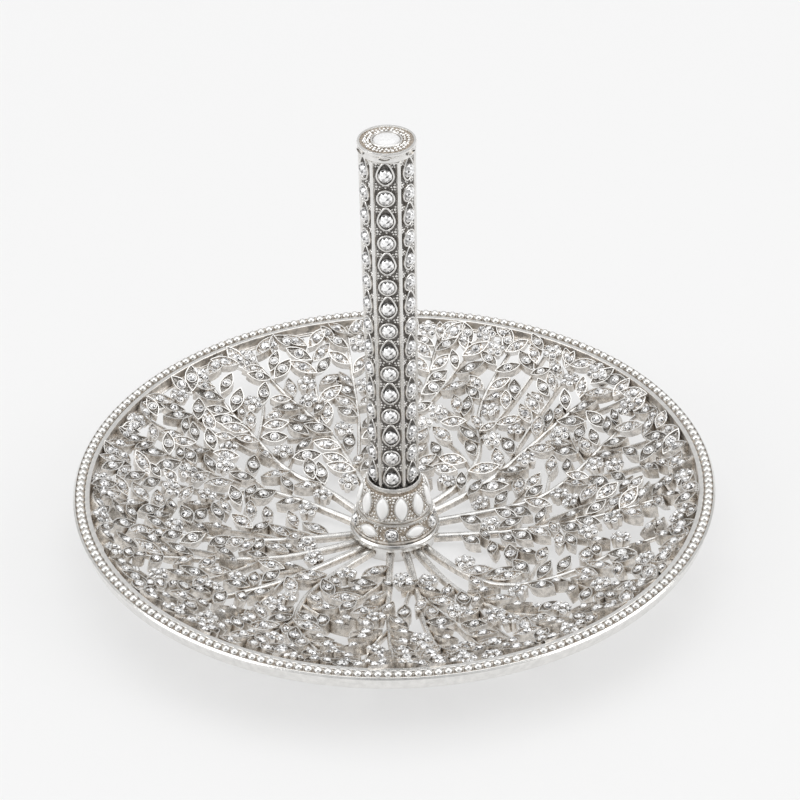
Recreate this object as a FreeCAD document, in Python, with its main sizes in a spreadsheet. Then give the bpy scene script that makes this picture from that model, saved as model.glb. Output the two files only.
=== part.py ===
import FreeCAD, Part
import Sketcher
import math
import os
from types import SimpleNamespace

# Ring holder: a round openwork dish of leafy sprays inside a beaded rim, with a
# six-sided post set with crystals standing on a two-tier hub at its middle.
# +Z is up, the origin is on the table under the post, bearings turn from +X.
# Lengths are millimetres.

Vector = FreeCAD.Vector

# Driving sizes: name, value, what it sets
SIZES = (
    ("rim_radius", 64.0, "outer radius of the dish at its lip"),
    ("rim_height", 3.0, "height of the plain outer wall"),
    ("rim_draft", 0.8, "how far that wall leans in at its foot"),
    ("dish_height", 14.0, "height of the lip over the table"),
    ("lip_width", 0.5, "outer lip beside the beads"),
    ("inner_lip_width", 1.0, "inner lip beside the beads"),
    ("ledge_width", 0.8, "ledge inside the wall that the sprays are soldered under"),
    ("ledge_thickness", 0.5, "thickness of that ledge"),
    ("ledge_rise", 0.7, "how far that ledge stands over the foot of the wall"),
    ("channel_depth", 0.9, "depth of the channel that holds the beads"),
    ("bead_size", 1.75, "width of one bead"),
    ("bead_gap", 0.14, "space from bead to bead"),
    ("bead_side_gap", 0.05, "space from a bead to the channel wall"),
    ("bead_rise", 0.7, "how far a bead stands over the lips"),
    ("seat_height", 2.8, "height of the flat middle of the dish"),
    ("flat_radius", 9.2, "radius of that flat middle"),
    ("lattice_thickness", 2.3, "thickness of the cast sprays"),
    ("leaf_pride", 0.15, "how far leaves stand over stems"),
    ("stem_root_width", 2.3, "width of a main stem at the plate"),
    ("stem_tip_width", 1.0, "width of a stem at the rim"),
    ("fork_width", 1.3, "width of a fork where it leaves its stem"),
    ("stem_step", 12.0, "length of the straight steps that a stem is built of"),
    ("leaf_length", 5.8, "length of a leaf"),
    ("leaf_width", 2.6, "width of a leaf"),
    ("leaf_pitch", 5.0, "step along a stem from one leaf to the next"),
    ("blossom_radius", 2.2, "radius of a blossom over its petals"),
    ("solder_overlap", 0.3, "how far neighbouring leaves may run together"),
    ("leaf_crystal_size", 1.5, "width of a crystal in a leaf"),
    ("leaf_crystal_rise", 0.5, "height of that crystal"),
    ("plate_radius", 7.9, "radius of the plate and foot under the hub"),
    ("joint_gap", 0.1, "solder gap between plate and stems"),
    ("foot_wall", 3.2, "width of the ring that the holder stands on"),
    ("foot_recess", 1.4, "depth of the recess inside that ring"),
    ("screw_radius", 1.5, "radius of the fixing screw"),
    ("screw_clearance", 0.1, "space round the screw in its holes"),
    ("screw_head_radius", 2.8, "corner radius of the screw head"),
    ("screw_head_height", 1.2, "height of the screw head"),
    ("screw_grip", 10.0, "length of screw inside the post"),
    ("hub_radius", 9.1, "radius of the smooth ring at the foot of the hub"),
    ("hub_ring_height", 1.8, "height of that ring"),
    ("hub_ring_round", 0.6, "bevel on its edges"),
    ("band_radius", 8.0, "radius of the lower tier at its foot"),
    ("band_height", 3.4, "height of the lower tier"),
    ("band_lean", 0.5, "how far the lower tier leans in"),
    ("divider_radius", 7.75, "radius of the ring between the tiers"),
    ("divider_height", 0.7, "height of that ring"),
    ("tier_radius", 7.3, "radius of the upper tier at its foot"),
    ("shoulder_radius", 6.1, "radius of the upper tier where it turns in to the cup"),
    ("tier_height", 4.7, "height of the upper tier up to that turn"),
    ("shoulder_height", 0.4, "height from that turn to the cup"),
    ("cup_wall", 0.35, "wall of the cup that holds the post"),
    ("cup_height", 0.9, "height of the lip of that cup"),
    ("cup_depth", 1.9, "depth of the cup"),
    ("post_root_radius", 5.0, "corner radius of the post at its foot"),
    ("post_top_radius", 5.6, "corner radius of the post under its cap"),
    ("post_length", 78.0, "length of the post under its cap"),
    ("rib_width", 0.9, "width of the rib on each corner of the post"),
    ("panel_recess", 0.35, "depth of the panels between the ribs"),
    ("stone_pitch", 4.9, "step from stone to stone up a panel"),
    ("stone_margin", 3.4, "from the ends of a panel to its end stones"),
    ("stone_size", 2.6, "width of a post crystal"),
    ("stone_rise", 0.6, "height of a post crystal over its bezel"),
    ("bezel_wall", 0.4, "width of a bezel wall"),
    ("bezel_height", 0.55, "height of a bezel over its panel"),
    ("bezel_point", 0.8, "how far a pointed bezel reaches past a round one"),
    ("enamel_length", 4.6, "length of an upright enamel almond"),
    ("enamel_width", 2.7, "width of an upright enamel almond"),
    ("band_enamel_length", 4.2, "length of an enamel almond that lies along the lower tier"),
    ("band_enamel_width", 2.4, "width of that almond"),
    ("enamel_rise", 0.6, "height of an enamel almond"),
    ("hub_stone_size", 2.6, "width of a crystal on the lower tier"),
    ("hub_stone_rise", 0.7, "height of that crystal"),
    ("cap_overhang", 0.1, "how far the cap stands past the corners of the post"),
    ("cap_height", 2.1, "height of the cap"),
    ("cap_edge", 0.35, "bevel on the edge of the cap"),
    ("cap_rim", 0.55, "width of the flat rim round the face of the cap"),
    ("cap_recess", 0.35, "depth of the face of the cap"),
    ("cabochon_radius", 2.7, "radius of the white cabochon"),
    ("cabochon_rise", 1.0, "height of that cabochon"),
    ("cabochon_bezel_wall", 0.4, "width of the bezel round it"),
    ("cabochon_bezel_height", 0.55, "height of that bezel"),
    ("grain_size", 0.72, "width of a grain in the ring on the cap"),
    ("grain_gap", 0.08, "space from grain to grain"),
)

# Bearing of the panel of the post that faces the front, in degrees
FRONT_PANEL = 265
PANELS = 6
UPPER_ENAMELS = 11
LOWER_SETTINGS = 5

# Flats round the hub, two to each setting of the upper tier and to each of the lower,
# turned so that every setting has a flat of its own
UPPER_SIDES = 2 * UPPER_ENAMELS
LOWER_SIDES = 4 * LOWER_SETTINGS
UPPER_TURN = FRONT_PANEL + 180 / UPPER_SIDES
LOWER_TURN = FRONT_PANEL + 180 / LOWER_SIDES
CAP_SIDES = 24

# The bowl rises from the flat middle to the rim by this power of the distance
BOWL_POWER = 1.6

# Sprays in order of bearing: the main stem, then its forks. Each is a run of
# places: the share of the way from the plate to the rim, and a bearing.
SPRAY_SHARES = (
    (((0, 22), (.13, 17), (.26, 14.5), (.42, 13), (.54, 16.5), (.65, 22.5), (.79, 27), (1, 29)),
     ((.45, 14), (.51, 24)), ((.65, 22.5), (.68, 33), (.71, 37)), ((.30, 14.5), (.39, 21)),
     ((.54, 16.5), (.71, 14), (.86, 12), (1, 11)), ((.71, 24), (.85, 20), (1, 19))),
    (((0, 42), (.13, 38), (.26, 36), (.38, 38), (.54, 41), (.70, 41.5), (.86, 42), (1, 41)),
     ((.42, 39), (.56, 45), (.70, 47.5), (.84, 49), (1, 50)),
     ((.74, 41.5), (.80, 36), (1, 34))),
    (((0, 56), (.13, 48), (.26, 46), (.38, 50), (.54, 60), (.61, 65), (.72, 66), (.86, 64.5), (1, 64)),
     ((.52, 59), (.58, 70), (.62, 76)), ((.33, 48), (.39, 60), (.42, 67)),
     ((.49, 56), (.63, 55), (.77, 56), (1, 57))),
    (((0, 84), (.17, 80), (.33, 82), (.49, 84), (.65, 82), (.81, 80), (1, 80)),
     ((.53, 84), (.68, 77), (.81, 73), (1, 72)), ((.19, 80), (.26, 70), (.32, 67)),
     ((.42, 83), (.54, 90), (.71, 91), (1, 90))),
    (((0, 112), (.17, 110), (.33, 112), (.45, 111), (.56, 113), (.68, 117), (.81, 119), (1, 120)),
     ((.48, 111), (.50, 120), (.54, 127)), ((.58, 113), (.72, 109), (1, 108)),
     ((.24, 111), (.38, 103), (.54, 101), (.72, 100), (1, 99))),
    (((0, 138), (.13, 134), (.26, 133), (.40, 139), (.47, 140), (.61, 134.5), (.72, 134), (.86, 133), (1, 131)),
     ((.47, 140), (.58, 141.5), (.72, 143), (1, 143)), ((.61, 134.5), (.68, 128), (.74, 125)),
     ((.40, 138), (.45, 130), (.50, 128))),
    (((0, 157), (.13, 152), (.28, 150.5), (.40, 152.5), (.49, 155), (.56, 160), (.59, 167), (.57, 175)),
     ((.50, 155), (.63, 159), (.77, 158), (1, 156)), ((.46, 154), (.44, 161), (.42, 166)),
     ((.58, 163), (.72, 167), (1, 168)), ((.40, 152.5), (.54, 148), (.70, 149), (1, 150))),
    (((0, 185), (.13, 188), (.26, 190), (.40, 190), (.54, 189), (.70, 188), (1, 186)),
     ((.28, 190), (.38, 184), (.48, 184)), ((.54, 189), (.65, 181), (.79, 178), (1, 177)),
     ((.13, 188), (.24, 180), (.33, 177))),
    (((0, 203), (.13, 206), (.26, 205.5), (.38, 203), (.49, 201), (.63, 200), (.79, 198), (1, 197)),
     ((.38, 203), (.51, 208), (.68, 210), (1, 209)), ((.49, 201), (.61, 195), (.74, 193))),
    (((0, 219), (.13, 219), (.26, 220), (.40, 221), (.54, 219), (.68, 217), (.84, 219), (1, 220)),
     ((.40, 221), (.51, 226), (.65, 228), (1, 230)), ((.26, 220), (.38, 214), (.47, 212))),
    (((0, 234), (.17, 230), (.33, 231), (.47, 234), (.58, 237.5), (.68, 243), (.76, 250), (.84, 255), (1, 258)),
     ((.49, 234.5), (.51, 243), (.54, 249)), ((.61, 238.5), (.74, 239), (1, 240)),
     ((.80, 253), (.90, 249), (1, 248))),
    (((0, 262), (.15, 263), (.28, 266), (.42, 268), (.56, 267), (.70, 268), (1, 270)),
     ((.17, 263), (.29, 256), (.38, 253)), ((.36, 267), (.45, 261), (.51, 258)),
     ((.56, 267), (.70, 262), (1, 263))),
    (((0, 286), (.15, 284), (.28, 281), (.42, 279), (.56, 278), (.72, 279), (1, 281)),
     ((.19, 283), (.30, 274), (.40, 273)), ((.31, 281), (.45, 286), (.58, 288), (.75, 288), (1, 290))),
    (((0, 303), (.15, 298), (.28, 296), (.40, 298), (.49, 301), (.61, 303), (.75, 304), (1, 302)),
     ((.42, 298), (.54, 295), (.68, 296), (1, 296)), ((.61, 303), (.72, 309), (1, 312))),
    (((0, 318), (.13, 311), (.26, 308), (.37, 308), (.45, 312), (.54, 321), (.63, 330), (.77, 343), (1, 347)),
     ((.50, 317), (.47, 325), (.46, 331)), ((.58, 325), (.72, 322), (1, 321)),
     ((.67, 335), (.81, 333), (1, 332))),
    (((0, 345), (.13, 350), (.28, 353), (.42, 354), (.56, 357), (.72, 358), (1, 0)),
     ((.15, 350.5), (.25, 342), (.34, 338)), ((.42, 354), (.51, 348), (.60, 345)),
     ((.34, 353.5), (.45, 1), (.58, 4), (1, 5))),
)

# Turns of leaves from their stem, tried in this order, in degrees
LEAF_TURNS = (48, 64, 34)
TRIO_TURNS = (0, 65, -65)
BLOSSOM_TURNS = (80, 100, 60)
# What the stations of a stem carry from its root on, over and over
STATION_KINDS = ("leaf", "blossom", "leaf", "leaf", "blossom")

# Outlines as shares of a piece's own length and width, anticlockwise
LEAF_SHARES = ((.5, 0), (.04, .5), (-.45, .24), (-.45, -.24), (.04, -.5))
ALMOND_SHARES = ((0, -.5), (.44, -.18), (.44, .18), (0, .5), (-.44, .18), (-.44, -.18))
HEXAGON_SHARES = tuple((math.cos(math.radians(a)) / 2, math.sin(math.radians(a)) / 2) for a in range(0, 360, 60))
DIAMOND_SHARES = ((0, -.5), (.5, 0), (0, .5), (-.5, 0))
BLOSSOM_SHARES = ((.5, 0), (0, .5), (-.5, 0), (0, -.5))
BLOSSOM_STAND_SHARE = .75
LEAF_FOOT_SHARE = .45
# A leaf is covered by three discs when room is looked for: place along it, radius
LEAF_DISC_SHARES = ((0, .48), (.3, .34), (-.3, .34))
DOME_SHARES = ((1, 0), (.96, .4), (.68, .78), (.26, 1))
DOME_SIDES = 16


class Size:
    """A length with the expression that gives it, so that a sketch can be bound to the sheet."""

    def __init__(self, number, text):
        self.number = number
        self.text = text

    def __add__(self, other):
        return Size(self.number + other.number, "%s + %s" % (self.text, other.text))

    def __sub__(self, other):
        return Size(self.number - other.number, "%s - (%s)" % (self.text, other.text))

    def __mul__(self, factor):
        return Size(self.number * factor, "%.9f * (%s)" % (factor, self.text))


def fill_sheet(doc):
    """The sheet of driving sizes, one to a row."""
    sheet = doc.addObject("Spreadsheet::Sheet", "sizes")
    for row, (name, value, note) in enumerate(SIZES, start=1):
        sheet.set("A%d" % row, name)
        sheet.set("B%d" % row, str(value))
        sheet.setAlias("B%d" % row, name)
        sheet.set("C%d" % row, note)
    doc.recompute()
    return sheet


def read_sheet(sheet):
    """The sizes as plain numbers, and as lengths that carry their expressions."""
    plain = SimpleNamespace(**{name: float(sheet.get(name)) for name, _, _ in SIZES})
    bound = SimpleNamespace(**{name: Size(float(sheet.get(name)), "sizes.%s" % name) for name, _, _ in SIZES})
    return plain, bound


# Sketches and bodies

def new_body(doc, label):
    body = doc.addObject("PartDesign::Body", label)
    body.Label = label
    return body


def new_sketch(body, role, name):
    """An empty sketch on one of the body's own planes."""
    sketch = body.newObject("Sketcher::SketchObject", name)
    plane = next(item for item in body.Origin.OriginFeatures if item.Role == role)
    sketch.AttachmentSupport = [(plane, "")]
    sketch.MapMode = "FlatFace"
    return sketch


def draw_outline(sketch, corners):
    """A closed straight-sided outline, each corner bound to the sheet."""
    count = len(corners)
    ends = [Vector(x.number, y.number, 0) for x, y in corners]
    for i in range(count):
        sketch.addGeometry(Part.LineSegment(ends[i], ends[(i + 1) % count]), False)
    for i in range(count):
        sketch.addConstraint(Sketcher.Constraint("Coincident", i, 2, (i + 1) % count, 1))
    for i, corner in enumerate(corners):
        for kind, size in zip(("DistanceX", "DistanceY"), corner):
            index = sketch.addConstraint(Sketcher.Constraint(kind, -1, 1, i, 1, size.number))
            sketch.setExpression("Constraints[%d]" % index, size.text)


def turned_body(doc, label, corners):
    """A body turned about the Z axis from its half section: pairs of radius and height."""
    body = new_body(doc, label)
    sketch = new_sketch(body, "XZ_Plane", label + "_section")
    draw_outline(sketch, corners)
    doc.recompute()
    turn = body.newObject("PartDesign::Revolution", label + "_turn")
    turn.Profile = (sketch, [""])
    turn.ReferenceAxis = (sketch, ["V_Axis"])
    turn.Angle = 360
    body.Tip = turn
    return body


# Parametric primitives, their sizes bound to the sheet

def polygon_loft(doc, name, sides, turn, sections):
    """A solid with flat sides through level polygons: pairs of corner radius and height."""
    rings = []
    for k, (radius, height) in enumerate(sections):
        ring = doc.addObject("Part::RegularPolygon", "%s_outline_%d" % (name, k))
        ring.Polygon = sides
        ring.Placement = turned_by(turn)
        ring.setExpression("Circumradius", radius.text)
        ring.setExpression("Placement.Base.z", height.text)
        rings.append(ring)
    loft = doc.addObject("Part::Loft", name)
    loft.Sections = rings
    loft.Solid = True
    loft.Ruled = True
    return loft


def prism(doc, name, sides, turn, radius, foot, height):
    solid = doc.addObject("Part::Prism", name)
    solid.Polygon = sides
    solid.Placement = turned_by(turn)
    solid.setExpression("Circumradius", radius.text)
    solid.setExpression("Height", height.text)
    solid.setExpression("Placement.Base.z", foot.text)
    return solid


def cylinder(doc, name, radius, foot, height):
    solid = doc.addObject("Part::Cylinder", name)
    solid.setExpression("Radius", radius.text)
    solid.setExpression("Height", height.text)
    solid.setExpression("Placement.Base.z", foot.text)
    return solid


def turned_by(bearing):
    return FreeCAD.Placement(Vector(0, 0, 0), FreeCAD.Rotation(Vector(0, 0, 1), bearing))


def fused(doc, label, solids):
    joined = doc.addObject("Part::MultiFuse", label)
    joined.Shapes = solids
    joined.Label = label
    return joined


def cut(doc, label, blank, tools):
    """The blank less each tool in turn; the last cut carries the label."""
    for k, tool in enumerate(tools, start=1):
        last = k == len(tools)
        rest = doc.addObject("Part::Cut", label if last else "%s_cut_%d" % (label, k))
        rest.Base = blank
        rest.Tool = tool
        blank = rest
    blank.Label = label
    return blank


# Solids with flat facets

def flat_face(points):
    return Part.Face(Part.makePolygon(list(points) + [points[0]]))


def is_flat(a, b, c, d):
    normal = (b - a).cross(c - a)
    reach = normal.Length * (d - a).Length
    return reach > 0 and abs(normal.dot(d - a)) < 1e-9 * reach


def wall_faces(low, high):
    """Faces between two rings of points, as flat quads where they can be."""
    faces = []
    count = len(low)
    for i in range(count):
        j = (i + 1) % count
        if len(high) == 1:
            faces.append(flat_face((low[i], low[j], high[0])))
        elif is_flat(low[i], low[j], high[j], high[i]):
            faces.append(flat_face((low[i], low[j], high[j], high[i])))
        else:
            faces.append(flat_face((low[i], low[j], high[j])))
            faces.append(flat_face((low[i], high[j], high[i])))
    return faces


def solid_of(faces):
    shell = Part.makeShell(faces)
    shell.sewShape()
    return Part.makeSolid(shell)


def stacked_solid(rings):
    """A solid through rings of points, each anticlockwise seen from the next; the last may be one point."""
    faces = [flat_face(list(reversed(rings[0])))]
    for low, high in zip(rings, rings[1:]):
        faces += wall_faces(low, high)
    if len(rings[-1]) > 1:
        faces.append(flat_face(rings[-1]))
    return solid_of(faces)


def hoop_solid(rings):
    """A closed hoop through rings of points, the last joined to the first."""
    faces = []
    for low, high in zip(rings, rings[1:] + rings[:1]):
        faces += wall_faces(low, high)
    return solid_of(faces)


class Seat:
    """Where a small piece sits: a place with directions across, up and out of the surface."""

    def __init__(self, place, across, up):
        self.place = place
        self.across = across
        self.up = up
        self.out = across.cross(up)

    def point(self, a, b, c):
        return self.place + self.across * a + self.up * b + self.out * c

    def ring(self, shares, width, length, rise):
        return [self.point(a * width, b * length, rise) for a, b in shares]


def radial(bearing):
    return Vector(math.cos(math.radians(bearing)), math.sin(math.radians(bearing)), 0)


def side_seat(bearing, radius, height, lean):
    """A seat on a turned or flat side that leans in by the given angle in radians."""
    out = radial(bearing)
    across = Vector(-out.y, out.x, 0)
    up = Vector(0, 0, math.cos(lean)) - out * math.sin(lean)
    return Seat(out * radius + Vector(0, 0, height), across, up)


def level_seat(bearing, radius, height):
    """A seat on a level face, its up side pointing away from the axis."""
    out = radial(bearing)
    return Seat(out * radius + Vector(0, 0, height), Vector(out.y, -out.x, 0), out)


# The dish

def channel_width(d):
    return d.bead_size + d.bead_side_gap + d.bead_side_gap


def wall_radius(d):
    """Inner radius of the rim's upright wall."""
    return d.rim_radius - d.lip_width - channel_width(d) - d.inner_lip_width


def ledge_foot(d):
    """Height of the underside of the ledge, where the sprays are soldered."""
    return d.dish_height - d.rim_height + d.ledge_rise


def rim_band(doc, b):
    """The rim: plain leaning wall outside, bead channel on top, ledge inside over a hollowed foot."""
    foot = b.dish_height - b.rim_height
    shelf = ledge_foot(b) + b.ledge_thickness
    groove = b.dish_height - b.channel_depth
    outer = b.rim_radius - b.lip_width
    inner = outer - channel_width(b)
    wall = wall_radius(b)
    ledge = wall - b.ledge_width
    return turned_body(doc, "rim_band", (
        (b.rim_radius - b.rim_draft, foot), (b.rim_radius, b.dish_height), (outer, b.dish_height),
        (outer, groove), (inner, groove), (inner, b.dish_height), (wall, b.dish_height),
        (wall, shelf), (ledge, ledge_foot(b)), (wall, ledge_foot(b))))


def bead_border(n):
    """A close row of beads standing in the channel."""
    row = n.rim_radius - n.lip_width - channel_width(n) / 2
    count = int(math.tau * row / (n.bead_size + n.bead_gap))
    foot = n.dish_height - n.channel_depth
    beads = []
    for k in range(count):
        seat = level_seat(360 * k / count, row, foot)
        ring = seat.ring(DIAMOND_SHARES, n.bead_size, n.bead_size, 0)
        beads.append(stacked_solid([ring, [seat.point(0, 0, n.channel_depth + n.bead_rise)]]))
    return Part.makeCompound(beads)


def centre_plate(doc, b):
    """The plate that the sprays meet at, with the foot ring under it."""
    ground = b.foot_recess - b.foot_recess
    blank = prism(doc, "plate_blank", LOWER_SIDES, LOWER_TURN, b.plate_radius, ground, b.seat_height)
    recess = prism(doc, "plate_recess", LOWER_SIDES, LOWER_TURN, b.plate_radius - b.foot_wall, ground,
                   b.foot_recess)
    bore = cylinder(doc, "plate_bore", b.screw_radius + b.screw_clearance, ground, b.seat_height)
    return cut(doc, "centre_plate", blank, [recess, bore])


class Bowl:
    """The surface that the tops of the leaves follow, and the plan of the sprays on it."""

    def __init__(self, n):
        self.n = n
        self.root = n.plate_radius + n.joint_gap
        self.ledge = wall_radius(n) - n.ledge_width
        self.reach = self.ledge + n.ledge_width / 2
        self.rise = ledge_foot(n) - n.seat_height
        self.step = n.stem_root_width / 2

    def height(self, radius):
        share = (radius - self.n.flat_radius) / (self.ledge - self.n.flat_radius)
        return self.n.seat_height + self.rise * min(max(share, 0), 1) ** BOWL_POWER

    def point(self, x, y):
        return Vector(x, y, self.height(math.hypot(x, y)))

    def seat(self, x, y, heading):
        """A seat on the bowl whose up side runs along the heading."""
        radius = math.hypot(x, y)
        away = Vector(x / radius, y / radius, 0)
        apart = self.step / 2
        slope = (self.height(radius + apart) - self.height(radius - apart)) / (2 * apart)
        normal = (Vector(0, 0, 1) - away * slope).normalize()
        level = Vector(math.cos(heading), math.sin(heading), 0)
        up = (level - normal * normal.dot(level)).normalize()
        return Seat(self.point(x, y), up.cross(normal), up)

    def place(self, share, bearing):
        radius = self.root + share * (self.reach - self.root)
        spot = radial(bearing) * radius
        return (spot.x, spot.y)

    def smooth_run(self, places, spacing):
        """Points about one spacing apart on a smooth curve through the places."""
        pts = [self.place(*item) for item in places]
        before = tuple(2 * a - b for a, b in zip(pts[0], pts[1]))
        after = tuple(2 * a - b for a, b in zip(pts[-1], pts[-2]))
        guide = [before] + pts + [after]
        run = []
        for k in range(1, len(guide) - 2):
            around = guide[k - 1:k + 3]
            parts = max(1, round(math.dist(around[1], around[2]) / spacing))
            run += [spline_point(around, i / parts) for i in range(parts)]
        return run + [pts[-1]]


def spline_point(around, t):
    """A point between the middle two of four places, on the curve that passes through them."""
    return tuple(
        0.5 * (2 * b + (c - a) * t + (2 * a - 5 * b + 4 * c - d) * t * t + (3 * b - a - 3 * c + d) * t ** 3)
        for a, b, c, d in zip(*around))


def stations(run, first, pitch):
    """Places at even steps along a run, each with its heading."""
    found = []
    gone = 0
    want = first
    for a, b in zip(run, run[1:]):
        span = math.dist(a, b)
        while gone + span >= want:
            share = (want - gone) / span
            heading = math.atan2(b[1] - a[1], b[0] - a[0])
            found.append((a[0] + share * (b[0] - a[0]), a[1] + share * (b[1] - a[1]), heading))
            want += pitch
        gone += span
    return found


def thinned(run, spacing):
    """The run with points about one spacing apart, its ends kept."""
    length = sum(math.dist(a, b) for a, b in zip(run, run[1:]))
    parts = max(2, round(length / spacing))
    inner = stations(run, length / parts, length / parts)[:parts - 1]
    return [run[0]] + [spot[:2] for spot in inner] + [run[-1]]


def aside(x, y, heading, gap):
    return (x + math.cos(heading) * gap, y + math.sin(heading) * gap, heading)


class Plan:
    """The sprays in plan: stems first, then leaves and blossoms wherever there is room."""

    def __init__(self, bowl):
        self.n = bowl.n
        self.bowl = bowl
        self.taken = []
        self.sprays = []
        for row in SPRAY_SHARES:
            runs = [thinned(bowl.smooth_run(places, bowl.step), self.n.stem_step) for places in row]
            along = [(x, y) for x, y, _ in stations(runs[0], 0, bowl.step)]
            for run in runs[1:]:
                run[0] = min(along, key=lambda spot: math.dist(spot, run[0]))
            free = [places[-1][0] < 1 for places in row]
            stem_discs = [(x, y, self.n.fork_width / 2) for run in runs for x, y, _ in stations(run, 0, bowl.step)]
            self.sprays.append(SimpleNamespace(runs=runs, free=free, stem_discs=stem_discs, leaves=[], blossoms=[]))
        self.add_trios()
        self.add_rows()

    def leaf_discs(self, x, y, heading):
        return [aside(x, y, heading, off * self.n.leaf_length)[:2] + (size * self.n.leaf_width,)
                for off, size in LEAF_DISC_SHARES]

    def blossom_discs(self, x, y):
        return [(x, y, self.n.blossom_radius - self.n.solder_overlap)]

    def crowded(self, discs, others):
        return any(math.hypot(a - x, b - y) < q + r - self.n.solder_overlap
                   for x, y, r in discs for a, b, q in others)

    def inside(self, discs):
        low = self.n.hub_radius + self.n.leaf_width / 2
        return all(low + r < math.hypot(x, y) < self.bowl.ledge - r / 2 for x, y, r in discs)

    def take(self, discs, spray):
        """Claims the discs when they are inside the dish and clear of what is there."""
        strangers = [disc for other in self.sprays if other is not spray for disc in other.stem_discs]
        room = self.inside(discs) and not self.crowded(discs, self.taken + strangers)
        if room:
            self.taken += discs
        return room

    def add_trios(self):
        """Three leaves where a fork ends short of the rim."""
        for spray in self.sprays:
            for run, free in zip(spray.runs, spray.free):
                if not free:
                    continue
                (x0, y0), (x1, y1) = run[-2:]
                ahead = math.atan2(y1 - y0, x1 - x0)
                for turn in TRIO_TURNS:
                    leaf = aside(x1, y1, ahead + math.radians(turn), self.n.leaf_length * LEAF_FOOT_SHARE)
                    if self.take(self.leaf_discs(*leaf), spray):
                        spray.leaves.append(leaf)

    def add_rows(self):
        """Leaves and blossoms by turns along every stem, on alternate sides."""
        for spray in self.sprays:
            for run in spray.runs:
                wide = self.n.stem_root_width if run is spray.runs[0] else self.n.fork_width
                places = stations(run, self.n.leaf_pitch, self.n.leaf_pitch)
                for k, (x, y, heading) in enumerate(places):
                    half = (wide + (self.n.stem_tip_width - wide) * k / len(places)) / 2
                    side = 1 if k % 2 else -1
                    if STATION_KINDS[k % len(STATION_KINDS)] == "leaf":
                        self.add_leaf(spray, x, y, heading, side, half)
                    else:
                        self.add_blossom(spray, x, y, heading, side, half)

    def add_leaf(self, spray, x, y, heading, side, half):
        """A leaf whose foot meets the side of its stem."""
        for turn in LEAF_TURNS:
            gap = half + self.n.leaf_length * LEAF_FOOT_SHARE
            leaf = aside(x, y, heading + side * math.radians(turn), gap)
            discs = self.leaf_discs(*leaf)
            if not self.crowded(discs[:2], spray.stem_discs) and self.take(discs, spray):
                spray.leaves.append(leaf)
                return

    def add_blossom(self, spray, x, y, heading, side, half):
        """A blossom beside its stem, its middle clear of the spray's other stems."""
        reach = self.n.blossom_radius * BLOSSOM_STAND_SHARE
        for turn in BLOSSOM_TURNS:
            blossom = aside(x, y, heading + side * math.radians(turn), half + reach)
            middle = [blossom[:2] + (reach,)]
            if not self.crowded(middle, spray.stem_discs) and self.take(self.blossom_discs(*blossom[:2]), spray):
                spray.blossoms.append(blossom)
                return


def stem_solid(bowl, run, wide, narrow):
    """A bar that follows the bowl along a run, a little narrower on top and towards its end."""
    n = bowl.n
    rings = []
    for k, (x, y) in enumerate(run):
        (x0, y0), (x1, y1) = run[max(k - 1, 0)], run[min(k + 1, len(run) - 1)]
        seat = bowl.seat(x, y, math.atan2(y1 - y0, x1 - x0))
        half = (wide + (narrow - wide) * k / (len(run) - 1)) / 2
        top = -n.leaf_pride
        foot = n.leaf_pride - n.lattice_thickness
        upper = half - n.leaf_pride
        rings.append([seat.point(half, 0, foot), seat.point(-half, 0, foot),
                      seat.point(-upper, 0, top), seat.point(upper, 0, top)])
    rings = [list(reversed(ring)) for ring in rings]
    return stacked_solid(rings)


def spray_stem(bowl, spray):
    """Main stem and forks as one casting."""
    n = bowl.n
    main = stem_solid(bowl, spray.runs[0], n.stem_root_width, n.stem_tip_width)
    forks = [stem_solid(bowl, run, n.fork_width, n.stem_tip_width) for run in spray.runs[1:]]
    return main.multiFuse(forks)


def leaf_solid(bowl, x, y, heading):
    n = bowl.n
    seat = bowl.seat(x, y, heading)
    shares = [(-b, a) for a, b in LEAF_SHARES]
    low = seat.ring(shares, n.leaf_width, n.leaf_length, -n.lattice_thickness)
    high = seat.ring(shares, n.leaf_width, n.leaf_length, 0)
    return stacked_solid([low, high])


def blossom_solid(bowl, x, y, heading):
    n = bowl.n
    seat = bowl.seat(x, y, heading)
    size = 2 * n.blossom_radius
    low = seat.ring(BLOSSOM_SHARES, size, size, -n.lattice_thickness)
    high = seat.ring(BLOSSOM_SHARES, size, size, 0)
    return stacked_solid([low, high])


def spray_foliage(bowl, spray):
    """Leaves and blossoms of one spray."""
    leaves = [leaf_solid(bowl, *leaf) for leaf in spray.leaves]
    blossoms = [blossom_solid(bowl, *blossom) for blossom in spray.blossoms]
    return Part.makeCompound(leaves + blossoms)


def leaf_crystals(bowl, sprays):
    """A small crystal on every other leaf; the leaves between are set too fine to model."""
    n = bowl.n
    stones = []
    for spray in sprays:
        for leaf in spray.leaves[::2]:
            seat = bowl.seat(*leaf)
            ring = seat.ring(DIAMOND_SHARES, n.leaf_crystal_size, n.leaf_crystal_size, 0)
            stones.append(stacked_solid([ring, [seat.point(0, 0, n.leaf_crystal_rise)]]))
    return Part.makeCompound(stones)


# The hub

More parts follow.
